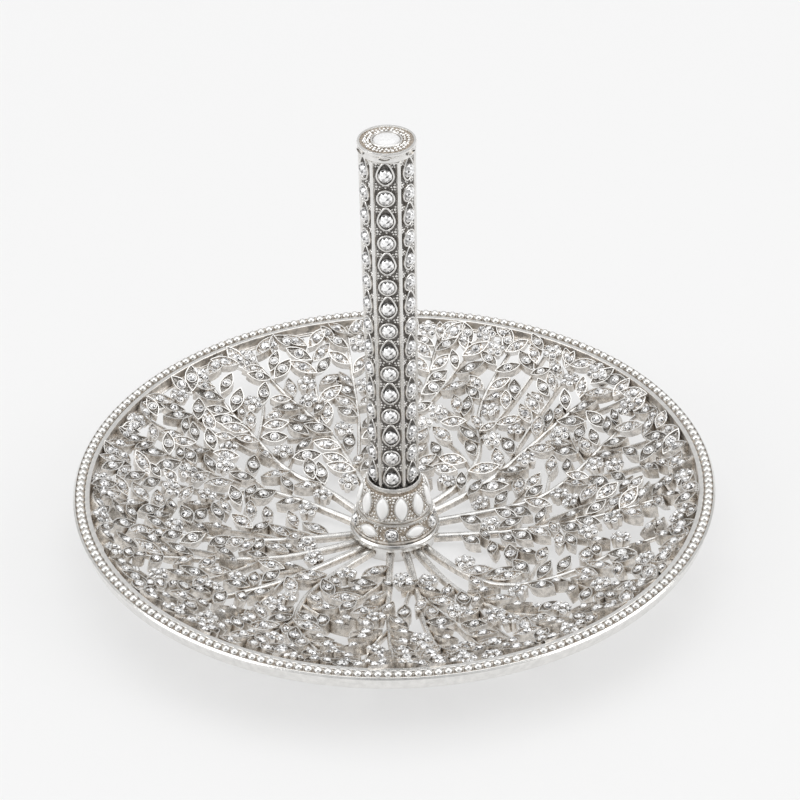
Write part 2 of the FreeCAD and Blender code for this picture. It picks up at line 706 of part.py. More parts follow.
def hub_lower(doc, b):
    """Smooth foot ring, lower tier and dividing ring."""
    foot = b.seat_height
    ring_top = foot + b.hub_ring_height
    band_top = ring_top + b.band_height
    ring = polygon_loft(doc, "hub_ring", LOWER_SIDES, LOWER_TURN, (
        (b.hub_radius - b.hub_ring_round, foot), (b.hub_radius, foot + b.hub_ring_round),
        (b.hub_radius, ring_top - b.hub_ring_round), (b.hub_radius - b.hub_ring_round, ring_top)))
    band = polygon_loft(doc, "hub_band", LOWER_SIDES, LOWER_TURN, (
        (b.band_radius, ring_top), (b.band_radius - b.band_lean, band_top)))
    divider = prism(doc, "hub_divider", LOWER_SIDES, LOWER_TURN, b.divider_radius, band_top, b.divider_height)
    bore = cylinder(doc, "hub_lower_bore", b.screw_radius + b.screw_clearance, foot, divider_top(b) - foot)
    return cut(doc, "hub_lower", fused(doc, "hub_lower_blank", [ring, band, divider]), [bore])


def divider_top(d):
    return d.seat_height + d.hub_ring_height + d.band_height + d.divider_height


def cup_top(d):
    return divider_top(d) + d.tier_height + d.shoulder_height + d.cup_height


def cup_floor(d):
    return cup_top(d) - d.cup_depth


def hub_upper(doc, b):
    """Upper tier with the cup that the post stands in."""
    foot = divider_top(b)
    shoulder = foot + b.tier_height
    rim_foot = shoulder + b.shoulder_height
    lip = cup_bore(b) + b.cup_wall
    tier = polygon_loft(doc, "hub_tier", UPPER_SIDES, UPPER_TURN, (
        (b.tier_radius, foot), (b.shoulder_radius, shoulder), (lip, rim_foot)))
    rim = prism(doc, "hub_cup_rim", UPPER_SIDES, UPPER_TURN, lip, rim_foot, b.cup_height)
    cup = prism(doc, "hub_cup", UPPER_SIDES, UPPER_TURN, cup_bore(b), cup_floor(b), b.cup_depth)
    bore = cylinder(doc, "hub_upper_bore", b.screw_radius + b.screw_clearance, foot, cup_floor(b) - foot)
    return cut(doc, "hub_upper", fused(doc, "hub_upper_blank", [tier, rim]), [cup, bore])


def cup_bore(b):
    """Corner radius inside the cup, so that its flats clear the corners of the post."""
    return (b.post_root_radius + b.screw_clearance) * (1 / math.cos(math.pi / UPPER_SIDES))


def almond(seat, width, length, rise):
    """A low enamel almond, flat behind and rounded in front."""
    low = seat.ring(ALMOND_SHARES, width, length, 0)
    high = seat.ring(ALMOND_SHARES, width * 0.6, length * 0.6, rise)
    return stacked_solid([low, high])


def flat_middle(radius, sides):
    """Distance from the axis to the middle of a flat, given the corner radius."""
    return radius * math.cos(math.pi / sides)


def upper_enamels(n):
    """Upright almonds round the upper tier, each on its own flat."""
    low = flat_middle(n.tier_radius, UPPER_SIDES)
    high = flat_middle(n.shoulder_radius, UPPER_SIDES)
    lean = math.atan2(low - high, n.tier_height)
    middle = divider_top(n) + n.tier_height / 2
    seats = [side_seat(FRONT_PANEL + 360 * (k + 0.5) / UPPER_ENAMELS, (low + high) / 2, middle, lean)
             for k in range(UPPER_ENAMELS)]
    return Part.makeCompound([almond(seat, n.enamel_width, n.enamel_length, n.enamel_rise) for seat in seats])


def band_seat(n, step):
    """A seat on the lower tier; even steps take crystals, odd ones almonds."""
    low = flat_middle(n.band_radius, LOWER_SIDES)
    high = flat_middle(n.band_radius - n.band_lean, LOWER_SIDES)
    middle = n.seat_height + n.hub_ring_height + n.band_height / 2
    bearing = FRONT_PANEL + 180 * step / LOWER_SETTINGS
    return side_seat(bearing, (low + high) / 2, middle, math.atan2(low - high, n.band_height))


def lower_enamels(n):
    """Almonds lying along the lower tier."""
    solids = []
    for k in range(LOWER_SETTINGS):
        seat = band_seat(n, 2 * k + 1)
        lying = Seat(seat.place, seat.up * -1, seat.across)
        solids.append(almond(lying, n.band_enamel_width, n.band_enamel_length, n.enamel_rise))
    return Part.makeCompound(solids)


def cut_stone(seat, size, rise):
    """A six-sided crystal with a flat table."""
    low = seat.ring(HEXAGON_SHARES, size, size, 0)
    high = seat.ring(HEXAGON_SHARES, size * 0.55, size * 0.55, rise)
    return stacked_solid([low, high])


def hub_crystals(n):
    seats = [band_seat(n, 2 * k) for k in range(LOWER_SETTINGS)]
    return Part.makeCompound([cut_stone(seat, n.hub_stone_size, n.hub_stone_rise) for seat in seats])


# The post

def ribbed_outline(b, radius):
    """Corners of the six-sided section: a flat rib on each corner and a sunk panel between."""
    half = b.rib_width * 0.5
    corners = []
    for k in range(PANELS):
        turn = FRONT_PANEL + 30 + 60 * k
        spot = radial(turn)
        before, after = radial(turn - 120), radial(turn + 120)
        left, right = radial(turn - 30), radial(turn + 30)
        for along, normal, sunk in ((before, left, True), (before, left, False), (after, right, False),
                                    (after, right, True)):
            x = radius * spot.x + half * along.x
            y = radius * spot.y + half * along.y
            if sunk:
                x = x - b.panel_recess * normal.x
                y = y - b.panel_recess * normal.y
            corners.append((x, y))
    return corners


def post_core(doc, b):
    """The tapered six-sided post, with the blind hole that the fixing screw bites into."""
    body = new_body(doc, "post_core")
    foot = new_sketch(body, "XY_Plane", "post_foot_section")
    foot.setExpression("AttachmentOffset.Base.z", cup_floor(b).text)
    draw_outline(foot, ribbed_outline(b, b.post_root_radius))
    head = new_sketch(body, "XY_Plane", "post_head_section")
    head.setExpression("AttachmentOffset.Base.z", (cup_floor(b) + b.post_length).text)
    draw_outline(head, ribbed_outline(b, b.post_top_radius))
    doc.recompute()
    loft = body.newObject("PartDesign::AdditiveLoft", "post_loft")
    loft.Profile = (foot, [""])
    loft.Sections = [(head, [""])]
    loft.Ruled = True
    doc.recompute()
    solid_volume = loft.Shape.Volume
    mouth = new_sketch(body, "XY_Plane", "post_hole_section")
    mouth.setExpression("AttachmentOffset.Base.z", cup_floor(b).text)
    mouth.addGeometry(Part.Circle(Vector(0, 0, 0), Vector(0, 0, 1), b.screw_radius.number), False)
    mouth.addConstraint(Sketcher.Constraint("Coincident", 0, 3, -1, 1))
    index = mouth.addConstraint(Sketcher.Constraint("Radius", 0, b.screw_radius.number))
    mouth.setExpression("Constraints[%d]" % index, b.screw_radius.text)
    hole = body.newObject("PartDesign::Pocket", "post_hole")
    hole.Profile = (mouth, [""])
    hole.setExpression("Length", b.screw_grip.text)
    hole.Reversed = True
    body.Tip = hole
    doc.recompute()
    if hole.Shape.Volume >= solid_volume:
        raise RuntimeError("the screw hole cut nothing from the post")
    return body


def panel_seat(n, panel, share):
    """A seat on a panel of the post, at a share of its length from the foot."""
    radius = n.post_root_radius + (n.post_top_radius - n.post_root_radius) * share
    apothem = math.cos(math.pi / PANELS)
    lean = -math.atan2((n.post_top_radius - n.post_root_radius) * apothem, n.post_length)
    height = cup_floor(n) + n.post_length * share
    return side_seat(FRONT_PANEL + 60 * panel, radius * apothem - n.panel_recess, height, lean)


def stone_seats(n):
    """Seats of all the stones on the post with their turn in the column."""
    first = n.cup_depth + n.stone_margin
    span = n.post_length - first - n.stone_margin
    steps = round(span / n.stone_pitch)
    return [(panel_seat(n, panel, (first + span * k / steps) / n.post_length), k)
            for panel in range(PANELS) for k in range(steps + 1)]


def post_bezels(n):
    """Round and pointed bezels by turns up every panel."""
    size = n.stone_size + 2 * n.bezel_wall
    solids = []
    for seat, turn in stone_seats(n):
        shares = HEXAGON_SHARES if turn % 2 else DIAMOND_SHARES
        length = size if turn % 2 else size + 2 * n.bezel_point
        low = seat.ring(shares, size, length, 0)
        high = seat.ring(shares, size - n.bezel_wall, length - n.bezel_wall, n.bezel_height)
        solids.append(stacked_solid([low, high]))
    return Part.makeCompound(solids)


def post_crystals(n):
    """One crystal on every bezel."""
    solids = []
    for seat, _ in stone_seats(n):
        ring = seat.ring(DIAMOND_SHARES, n.stone_size, n.stone_size, n.bezel_height)
        solids.append(stacked_solid([ring, [seat.point(0, 0, n.bezel_height + n.stone_rise)]]))
    return Part.makeCompound(solids)


def fixing_screw(doc, b):
    """Hexagon-headed screw from under the plate up into the post."""
    head = prism(doc, "screw_head", PANELS, FRONT_PANEL, b.screw_head_radius,
                 b.foot_recess - b.screw_head_height, b.screw_head_height)
    shank = cylinder(doc, "screw_shank", b.screw_radius, b.foot_recess,
                     cup_floor(b) + b.screw_grip - b.foot_recess)
    return fused(doc, "fixing_screw", [head, shank])


# The cap

def cap_foot(d):
    return cup_floor(d) + d.post_length


def cap_radius(d):
    return d.post_top_radius + d.cap_overhang


def cap_face(d):
    return cap_foot(d) + d.cap_height - d.cap_recess


def post_cap(doc, b):
    """The round cap with its sunk face."""
    foot = cap_foot(b)
    edge = foot + b.cap_height - b.cap_edge
    wide = cap_radius(b)
    blank = polygon_loft(doc, "cap_blank", CAP_SIDES, FRONT_PANEL, (
        (wide, foot), (wide, edge), (wide - b.cap_edge, edge + b.cap_edge)))
    face = prism(doc, "cap_face", CAP_SIDES, FRONT_PANEL, wide - b.cap_edge - b.cap_rim,
                 cap_face(b), b.cap_recess)
    return cut(doc, "post_cap", blank, [face])


def face_ring(radius, height):
    return [radial(360 * k / DOME_SIDES) * radius + Vector(0, 0, height) for k in range(DOME_SIDES)]


def cabochon_bezel(n):
    """The plain hoop that holds the cabochon."""
    low = cap_face(n)
    high = low + n.cabochon_bezel_height
    outer = n.cabochon_radius + n.cabochon_bezel_wall
    return hoop_solid([face_ring(outer, low), face_ring(outer, high),
                       face_ring(n.cabochon_radius, high), face_ring(n.cabochon_radius, low)])


def cap_cabochon(n):
    """The white domed cabochon."""
    return stacked_solid([face_ring(n.cabochon_radius * wide, cap_face(n) + n.cabochon_rise * rise)
                          for wide, rise in DOME_SHARES])


def cap_grains(n):
    """Ring of grains between the cabochon's bezel and the rim of the cap."""
    inner = n.cabochon_radius + n.cabochon_bezel_wall
    row = (inner + cap_radius(n) - n.cap_edge - n.cap_rim) / 2
    count = int(math.tau * row / (n.grain_size + n.grain_gap))
    solids = []
    for k in range(count):
        seat = level_seat(360 * k / count, row, cap_face(n))
        ring = seat.ring(DIAMOND_SHARES, n.grain_size, n.grain_size, 0)
        solids.append(stacked_solid([ring, [seat.point(0, 0, n.grain_size * 0.6)]]))
    return Part.makeCompound(solids)


# Assembly

def add_feature(doc, label, shape):
    feature = doc.addObject("Part::Feature", label)
    feature.Label = label
    feature.Shape = shape
    feature.Placement = FreeCAD.Placement()
    return feature


def build(doc):
    """All sub-parts of the ring holder, each under its own label."""
    n, b = read_sheet(fill_sheet(doc))
    pieces = [rim_band(doc, b), centre_plate(doc, b), hub_lower(doc, b), hub_upper(doc, b),
              post_core(doc, b), post_cap(doc, b), fixing_screw(doc, b)]
    bowl = Bowl(n)
    plan = Plan(bowl)
    shapes = {
        "bead_border": bead_border(n),
        "leaf_crystals": leaf_crystals(bowl, plan.sprays),
        "upper_enamels": upper_enamels(n),
        "lower_enamels": lower_enamels(n),
        "hub_crystals": hub_crystals(n),
        "post_bezels": post_bezels(n),
        "post_crystals": post_crystals(n),
        "cabochon_bezel": cabochon_bezel(n),
        "cap_cabochon": cap_cabochon(n),
        "cap_grains": cap_grains(n),
    }
    for k, spray in enumerate(plan.sprays, start=1):
        shapes["spray_%02d_stem" % k] = spray_stem(bowl, spray)
        shapes["spray_%02d_foliage" % k] = spray_foliage(bowl, spray)
    pieces += [add_feature(doc, label, shape) for label, shape in shapes.items()]
    return pieces


def check(doc, pieces):
    """Stops on an object that failed or a shape that is empty or not valid."""
    for item in doc.Objects:
        if "Invalid" in item.State or "Error" in item.State:
            raise RuntimeError("%s did not build: %s" % (item.Label, item.State))
    for piece in pieces:
        if piece.Shape.isNull() or not piece.Shape.isValid():
            raise RuntimeError("%s has no valid shape" % piece.Label)
        for solid in piece.Shape.Solids:
            if solid.Volume <= 0:
                raise RuntimeError("%s has a solid that is inside out" % piece.Label)


def main():
    doc = FreeCAD.newDocument("ring_holder")
    pieces = build(doc)
    doc.recompute()
    check(doc, pieces)
    os.makedirs("parts", exist_ok=True)
    for piece in pieces:
        piece.Shape.exportStep("parts/%s.step" % piece.Label)
    print("%d sub-parts, %d solids" % (len(pieces), sum(len(piece.Shape.Solids) for piece in pieces)))


main()
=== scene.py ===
import math
import random
from contextlib import contextmanager
from types import SimpleNamespace

import bmesh
import bpy
from bpy.props import FloatProperty, FloatVectorProperty, PointerProperty
from mathutils import Matrix, Vector


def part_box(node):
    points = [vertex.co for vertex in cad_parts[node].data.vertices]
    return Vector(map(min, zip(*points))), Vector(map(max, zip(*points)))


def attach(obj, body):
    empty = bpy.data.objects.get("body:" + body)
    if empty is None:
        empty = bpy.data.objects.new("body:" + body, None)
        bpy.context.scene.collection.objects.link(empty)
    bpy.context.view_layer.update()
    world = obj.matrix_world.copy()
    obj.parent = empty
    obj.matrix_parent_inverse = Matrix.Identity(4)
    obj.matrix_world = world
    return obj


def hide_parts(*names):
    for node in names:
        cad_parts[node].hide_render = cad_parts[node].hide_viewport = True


bl_info = {
    "name": "Ring holder",
    "version": (1, 0, 0),
    "blender": (4, 5, 0),
    "location": "View3D > Sidebar > Ring holder",
    "description": "Dresses the ring holder's solids: openwork leaf dish, beaded rim, jewelled post",
    "category": "Object",
}

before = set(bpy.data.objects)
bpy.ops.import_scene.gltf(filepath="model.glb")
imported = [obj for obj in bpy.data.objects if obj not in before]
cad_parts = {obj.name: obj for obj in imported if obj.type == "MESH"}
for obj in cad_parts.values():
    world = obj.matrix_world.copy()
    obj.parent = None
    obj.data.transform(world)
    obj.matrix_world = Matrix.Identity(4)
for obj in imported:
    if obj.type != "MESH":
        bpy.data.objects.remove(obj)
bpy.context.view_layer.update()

# Places read from the solids, in metres
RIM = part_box("rim_band")
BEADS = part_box("bead_border")
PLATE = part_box("centre_plate")
HUB_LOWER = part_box("hub_lower")
HUB_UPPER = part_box("hub_upper")
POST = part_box("post_core")
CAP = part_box("post_cap")

# Bearing of the post's front panel, in degrees, and how many of each there are
FRONT_PANEL = 265
PANELS = 6
UPPER_ENAMELS = 11
LOWER_SETTINGS = 5

# How steeply the bowl curves up to the rim, and how far off the plate the sprays' first places are
BOWL_POWER = 1.6
ROOT_GAP = .0001

# How fast a stem sinks under its leaves, where it is up again, and how fast it comes up
SINK_SHARE = 1.6
RISEN_SHARE = 1.03
RISE_SHARE = 12

# Sprays in order of bearing: the main stem, then its forks. Each is a run of
# places: the share of the way from the plate to the rim, and a bearing.
SPRAY_SHARES = (
    (((0, 22), (.13, 17), (.26, 14.5), (.42, 13), (.54, 16.5), (.65, 22.5), (.79, 27), (1, 29)),
     ((.45, 14), (.51, 24)), ((.65, 22.5), (.68, 33), (.71, 37)), ((.30, 14.5), (.39, 21)),
     ((.54, 16.5), (.71, 14), (.86, 12), (1, 11)), ((.71, 24), (.85, 20), (1, 19))),
    (((0, 42), (.13, 38), (.26, 36), (.38, 38), (.54, 41), (.70, 41.5), (.86, 42), (1, 41)),
     ((.42, 39), (.56, 45), (.70, 47.5), (.84, 49), (1, 50)),
     ((.74, 41.5), (.80, 36), (1, 34))),
    (((0, 56), (.13, 48), (.26, 46), (.38, 50), (.54, 60), (.61, 65), (.72, 66), (.86, 64.5),
      (1, 64)),
     ((.52, 59), (.58, 70), (.62, 76)), ((.33, 48), (.39, 60), (.42, 67)),
     ((.49, 56), (.63, 55), (.77, 56), (1, 57))),
    (((0, 84), (.17, 80), (.33, 82), (.49, 84), (.65, 82), (.81, 80), (1, 80)),
     ((.53, 84), (.68, 77), (.81, 73), (1, 72)), ((.19, 80), (.26, 70), (.32, 67)),
     ((.42, 83), (.54, 90), (.71, 91), (1, 90))),
    (((0, 112), (.17, 110), (.33, 112), (.45, 111), (.56, 113), (.68, 117), (.81, 119), (1, 120)),
     ((.48, 111), (.50, 120), (.54, 127)), ((.58, 113), (.72, 109), (1, 108)),
     ((.24, 111), (.38, 103), (.54, 101), (.72, 100), (1, 99))),
    (((0, 138), (.13, 134), (.26, 133), (.40, 139), (.47, 140), (.61, 134.5), (.72, 134), (.86, 133),
      (1, 131)),
     ((.47, 140), (.58, 141.5), (.72, 143), (1, 143)), ((.61, 134.5), (.68, 128), (.74, 125)),
     ((.40, 138), (.45, 130), (.50, 128))),
    (((0, 157), (.13, 152), (.28, 150.5), (.40, 152.5), (.49, 155), (.56, 160), (.59, 167), (.57, 175)),
     ((.50, 155), (.63, 159), (.77, 158), (1, 156)), ((.46, 154), (.44, 161), (.42, 166)),
     ((.58, 163), (.72, 167), (1, 168)), ((.40, 152.5), (.54, 148), (.70, 149), (1, 150))),
    (((0, 185), (.13, 188), (.26, 190), (.40, 190), (.54, 189), (.70, 188), (1, 186)),
     ((.28, 190), (.38, 184), (.48, 184)), ((.54, 189), (.65, 181), (.79, 178), (1, 177)),
     ((.13, 188), (.24, 180), (.33, 177))),
    (((0, 203), (.13, 206), (.26, 205.5), (.38, 203), (.49, 201), (.63, 200), (.79, 198), (1, 197)),
     ((.38, 203), (.51, 208), (.68, 210), (1, 209)), ((.49, 201), (.61, 195), (.74, 193))),
    (((0, 219), (.13, 219), (.26, 220), (.40, 221), (.54, 219), (.68, 217), (.84, 219), (1, 220)),
     ((.40, 221), (.51, 226), (.65, 228), (1, 230)), ((.26, 220), (.38, 214), (.47, 212))),
    (((0, 234), (.17, 230), (.33, 231), (.47, 234), (.58, 237.5), (.68, 243), (.76, 250), (.84, 255),
      (1, 258)),
     ((.49, 234.5), (.51, 243), (.54, 249)), ((.61, 238.5), (.74, 239), (1, 240)),
     ((.80, 253), (.90, 249), (1, 248))),
    (((0, 262), (.15, 263), (.28, 266), (.42, 268), (.56, 267), (.70, 268), (1, 270)),
     ((.17, 263), (.29, 256), (.38, 253)), ((.36, 267), (.45, 261), (.51, 258)),
     ((.56, 267), (.70, 262), (1, 263))),
    (((0, 286), (.15, 284), (.28, 281), (.42, 279), (.56, 278), (.72, 279), (1, 281)),
     ((.19, 283), (.30, 274), (.40, 273)), ((.31, 281), (.45, 286), (.58, 288), (.75, 288), (1, 290))),
    (((0, 303), (.15, 298), (.28, 296), (.40, 298), (.49, 301), (.61, 303), (.75, 304), (1, 302)),
     ((.42, 298), (.54, 295), (.68, 296), (1, 296)), ((.61, 303), (.72, 309), (1, 312))),
    (((0, 318), (.13, 311), (.26, 308), (.37, 308), (.45, 312), (.54, 321), (.63, 330), (.77, 343), (1, 347)),
     ((.50, 317), (.47, 325), (.46, 331)), ((.58, 325), (.72, 322), (1, 321)),
     ((.67, 335), (.81, 333), (1, 332))),
    (((0, 345), (.13, 350), (.28, 353), (.42, 354), (.56, 357), (.72, 358), (1, 0)),
     ((.15, 350.5), (.25, 342), (.34, 338)), ((.42, 354), (.51, 348), (.60, 345)),
     ((.34, 353.5), (.45, 1), (.58, 4), (1, 5))),
)

# Turns of leaves from their stems, in degrees, in the order they are tried
LEAF_TURNS = (48, 64, 34)
TRIO_TURNS = (0, 65, -65)
BLOSSOM_TURNS = (80, 100, 60)
RIM_TURNS = (28, -36, 8, 50, -18)
OVER_TURN = 24

# What stands by turns along a stem, and the room that a leaf takes: discs at shares of its length,
# as wide as shares of its width
STATION_KINDS = ("leaf", "blossom", "leaf", "leaf", "blossom")
LEAF_DISC_SHARES = ((0, .48), (.3, .34), (-.3, .34))
LEAF_FOOT_SHARE = .45
BLOSSOM_STAND_SHARE = .75

# What fills the gaps: from which shares of the dish's radius leaves and small leaves do, how small those
# are, how seldom leaves lie over a stem, and how many laps leaves at the rim may lie over others by
FILLED_SHARES = (.3, .7)
SMALL_SHARE = .8
OVER_STEP = 3
RIM_LAPS = 4

# How leaves differ: the share with plain floors, their sizes, how far they stand up and how far they lean
PLAIN_LEAF_SHARE = .45
LEAF_SIZES = (.92, 1.22)
LEAF_SINKS = (-.0002, .0003)
LEAF_TILTS = (-.34, .34)
LEAF_NODS = (-.12, .12)

# How far each row of a pointed bezel's corners is drawn out, from its tip
DROP_SHARES = (1, .84, .52, .2)
DROP_FOOT_SHARE = .3

# Section of a stem, across as shares of its width and down as shares of its height
STEM_SECTION_SHARES = (
    (-.36, -1), (-.33, -.5), (-.26, -.18), (-.14, -.01), (.14, -.01), (.26, -.18), (.33, -.5), (.36, -1))

# Sections of the turned pieces: millimetres out from an edge and up from a level
MM = .001
BORE = .0017
CUP_LIFT = .0011
LOWER_FOOT_MM = (
    (-.6, 0), (-.18, .2), (0, .8), (-.15, 1.3), (-.5, 1.6), (-1, 1.6), (-1.05, 1.7), (-.75, 1.75),
    (-.65, 1.95), (-.8, 2.2), (-1.1, 2.2))
LOWER_TOP_MM = ((-1.6, -.7), (-1.45, -.6), (-1.35, -.35), (-1.45, 0))
UPPER_FOOT_MM = ((-.1, 0), (0, .2), (-.05, .5), (-.3, .6))
CUP_MM = ((-.1, -1.1), (.05, -1.05), (.15, -.9), (.2, -.6), (.15, -.25), (.05, -.05), (-.1, 0))
SOCKET_MM = ((.05, -.1), (0, -.3), (0, -1.9))
CAP_FOOT_MM = ((-.3, 0), (-.1, .2))
CAP_TOP_MM = ((-.1, -.8), (0, -.6), (0, -.25), (-.1, -.05), (-.3, 0), (-.5, -.05), (-.6, -.35))
CABOCHON_HOOP_MM = ((0, 0), (.4, 0), (.4, .35), (.3, .5), (.1, .55), (0, .4))

# Grains of the hub: degrees round from the middle between two settings, millimetres up
LOWER_GRAINS = ((-8.5, 1.2), (-3.5, 1.3), (2, 1.2), (7, 1.3), (-4.5, .65), (1, .6))
UPPER_GRAINS = (
    (-10, -2.2), (-4.5, -2.1), (1, -2.2), (6.5, -2.1), (11.5, -2.2), (-3, -1.5), (3, -1.4), (0, -.8), (0, 0),
    (0, .7), (-3, 1.3), (3.5, 1.4), (-8, 1.9), (-2, 2), (5, 1.9), (-12, 2.4), (-6, 2.5), (1, 2.5), (7, 2.4),
    (13, 2.5))

# Grains of the post, from a stone's middle to halfway up to the next: millimetres across and up
LARGE_GRAINS_MM = ((-1.72, 0), (1.72, 0))
SMALL_GRAINS_MM = (
    (-1.1, -.1), (1.1, -.1), (-1.8, .6), (1.8, .6), (-1.8, -.6), (1.8, -.6), (-1.3, -.6), (1.3, -.6))
ROUND_GRAINS_MM = ((-.5, .2), (.5, .2), (0, -.3))

QUARTER = Matrix.Rotation(math.pi / 2, 4, "Z")
FINISHES = {}


# Sizes and colours that a user may change

def number(name, description, default, **kind):
    return FloatProperty(name=name, description=description, default=default, **kind)


def length(name, description, default):
    return number(name, description, default, min=0, unit="LENGTH", precision=5)


def colour(name, description, default):
    return FloatVectorProperty(name=name, description=description, default=default, size=3, min=0, max=1,
                               subtype="COLOR")


class RingHolderDish(bpy.types.PropertyGroup):
    bead_size: length("Bead", "Width of one bead of the border", .00178)
    bead_gap: length("Bead gap", "Space from bead to bead", .00011)
    lip_width: length("Outer lip", "Lip outside the beads", .0005)
    inner_lip_width: length("Inner lip", "Lip inside the beads", .001)
    lip_slope: length("Outer lip slope", "How far the outer lip slopes down to its edge", .0005)
    channel_width: length("Bead channel", "Width of the channel that the beads stand in", .00185)
    channel_depth: length("Channel depth", "Depth of that channel under the lips", .0004)
    rim_draft: length("Rim lean", "How far the outer wall leans in at its foot", .0008)
    ledge_width: length("Ledge", "Ledge that the sprays are soldered under", .0008)
    ledge_thickness: length("Ledge thickness", "Thickness of that ledge", .0005)
    ledge_rise: length("Ledge rise", "How far the ledge stands over the foot of the wall", .0007)
    lattice_thickness: length("Lattice thickness", "Height of the cast walls of leaves and stems", .0023)
    flat_radius: length("Flat middle", "Radius of the flat middle of the dish", .0092)
    stem_root_width: length("Stem at root", "Width of a main stem at the plate", .0023)
    stem_tip_width: length("Stem at rim", "Width of a stem at the rim", .001)
    fork_width: length("Fork", "Width of a fork at its start", .0013)
    stem_step: length("Stem step", "Length of the straight steps of the solids' stems", .012)
    leaf_pride: length("Leaf over root", "How far leaves stand over the stems at the plate", .00015)
    rim_pride: length("Leaf over tip", "How far leaves stand over the stems at the rim", .0008)
    rim_lift: length("Leaf lift", "How far the leaves at the rim stand over the bowl", .0022)
    leaf_length: length("Leaf length", "Length of a leaf", .0058)
    leaf_width: length("Leaf width", "Width of a leaf", .0026)
    leaf_pitch: length("Leaf pitch", "Step along a stem from leaf to leaf", .005)
    leaf_rim: length("Leaf rim", "Width of the raised edge of a leaf", .00018)
    leaf_depth: length("Leaf depth", "Depth of a leaf's floor under its edge", .00038)
    blossom_radius: length("Blossom radius", "Radius of a blossom over its petals", .0022)
    solder_overlap: length("Overlap", "How far neighbouring leaves may run together", .0003)
    lap: length("Lap", "How far a leaf that fills a gap may lie over its neighbours", .0003)
    fill_pitch: length("Filling pitch", "Step along a stem of the leaves that fill the gaps", .0031)
    bud_radius: length("Bud radius", "Radius of one petal or bud", .0008)


class RingHolderStones(bpy.types.PropertyGroup):
    leaf_stone: length("Leaf stone", "Width of the stone in a leaf", .0017)
    blossom_stone: length("Blossom stone", "Width of a stone in a blossom", .0013)
    post_stone: length("Post stone", "Width of a stone on the post", .0028)
    hub_stone: length("Hub stone", "Width of a stone on the hub", .0024)
    bezel_wall: length("Bezel wall", "Width of a bezel's wall", .00038)
    # The gap shows the hoop's dark floor, which is painted shade
    bezel_gap: length("Bezel gap", "Dark gap between a stone and its bezel", .00007)
    bezel_point: length("Bezel point", "How far a pointed bezel reaches past a round one", .0013)
    enamel_length: length("Upright enamel", "Length of an upright almond", .0051)
    enamel_width: length("Upright enamel width", "Width of an upright almond", .0027)
    band_enamel_length: length("Lying enamel", "Length of an almond along the lower tier", .0043)
    band_enamel_width: length("Lying enamel width", "Width of an almond along the lower tier", .0023)
    stone_pitch: length("Stone pitch", "Step from stone to stone up the post", .0049)
    stone_margin: length("Stone margin", "From the ends of a panel to its end stones", .0031)
    grain: length("Grain", "Width of the grains on the hub and post", .00062)
    cabochon: length("Cabochon", "Radius of the white cabochon on the cap", .0027)


class RingHolderFinish(bpy.types.PropertyGroup):
    silver: colour("Silver", "Polished plated metal", (.87, .86, .84))
    tarnish: colour("Tarnish", "Warm tarnish in recesses and on the hub's ground", (.5, .435, .365))
    # Painted shade and warm reflection: the walls are the same silver as the level tops, drawn warmer and
    # darker
    wall: colour("Walls", "Warm grey of the cast walls of leaves, stems and rim", (.8, .755, .7))
    # Also the dark floor inside the stone hoops, where it is painted shade round the stones
    antique: colour("Antique", "Darkened panels of the post", (.17, .16, .15))
    leaf_floor: colour("Leaf floors", "Darkened floors of the leaves", (.31, .295, .275))
    # White of the stones, also the colour of their painted glints
    crystal: colour("Crystal", "Clear foiled stones", (1, 1, 1))
    # Painted reflection: the dark tone of some facets of the stones
    facet_reflection_dark: colour("Crystal shade", "Dark facets of the stones", (.09, .085, .085))
    enamel: colour("Enamel", "White enamel", (.98, .98, .975))
    # Painted shade: the cabochon is white like the enamel, greyed so that its top is not too bright under the
    # overhead light
    cabochon: colour("Cabochon", "Milky cabochon on the cap", (.8, .8, .8))
    steel: colour("Steel", "Plain steel of the screw", (.55, .55, .56))
    floor: colour("Floor", "Pale floor", (.3, .3, .3))


class RingHolderStage(bpy.types.PropertyGroup):
    distance: length("Camera distance", "From the camera to the middle of the dish", .815)
    elevation: number("Elevation", "Camera over the horizon", math.radians(35), subtype="ANGLE")
    roll: number("Roll", "Turn of the camera about its view", math.radians(-1.25), subtype="ANGLE")
    lens: number("Lens", "Focal length", 183.9, unit="CAMERA")
    middle_x: number("Middle x", "Image column of the dish's middle", 394, subtype="PIXEL")
    middle_y: number("Middle y", "Image row of the dish's middle", 481, subtype="PIXEL")
    floor_size: length("Floor size", "Width of the floor", 6)
    key_power: number("Key light", "Power of the overhead light", 9, unit="POWER")
    side_power: number("Side lights", "Power of each side light", 6, unit="POWER")
    sky: number("Sky", "Strength of the light all round", .74)
    floor_glow: number("Floor glow", "Light that the backlit floor gives off", .55)


# Working in edit mode

def only(*pieces):
    """Selects these pieces alone, the first of them active."""
    bpy.ops.object.select_all(action="DESELECT")
    for piece in pieces:
        piece.select_set(True)
    bpy.context.view_layer.objects.active = pieces[0]


@contextmanager
def editing(piece):
    only(piece)
    bpy.ops.object.mode_set(mode="EDIT")
    yield
    bpy.ops.object.mode_set(mode="OBJECT")


def everything(kind="FACE"):
    """In edit mode, selects the whole piece."""
    bpy.ops.mesh.select_mode(type=kind)
    bpy.ops.mesh.select_all(action="SELECT")


def pick(piece, kind, test):
    """In edit mode, selects the vertices or faces that pass the test."""
    bpy.ops.mesh.select_mode(type=kind)
    bpy.ops.mesh.select_all(action="DESELECT")
    shape = bmesh.from_edit_mesh(piece.data)
    for item in shape.verts if kind == "VERT" else shape.faces:
        if test(item):
            item.select_set(True)
    shape.select_flush(True)
    bmesh.update_edit_mesh(piece.data)


def face_up(level=None):
    """Test for the faces that look up, at a height if one is given."""
    def test(face):
        at_level = level is None or abs(face.calc_center_median().z - level) < 2e-5
        return face.normal.z > .9 and at_level
    return test


def face_down(face):
    return face.normal.z < -.9


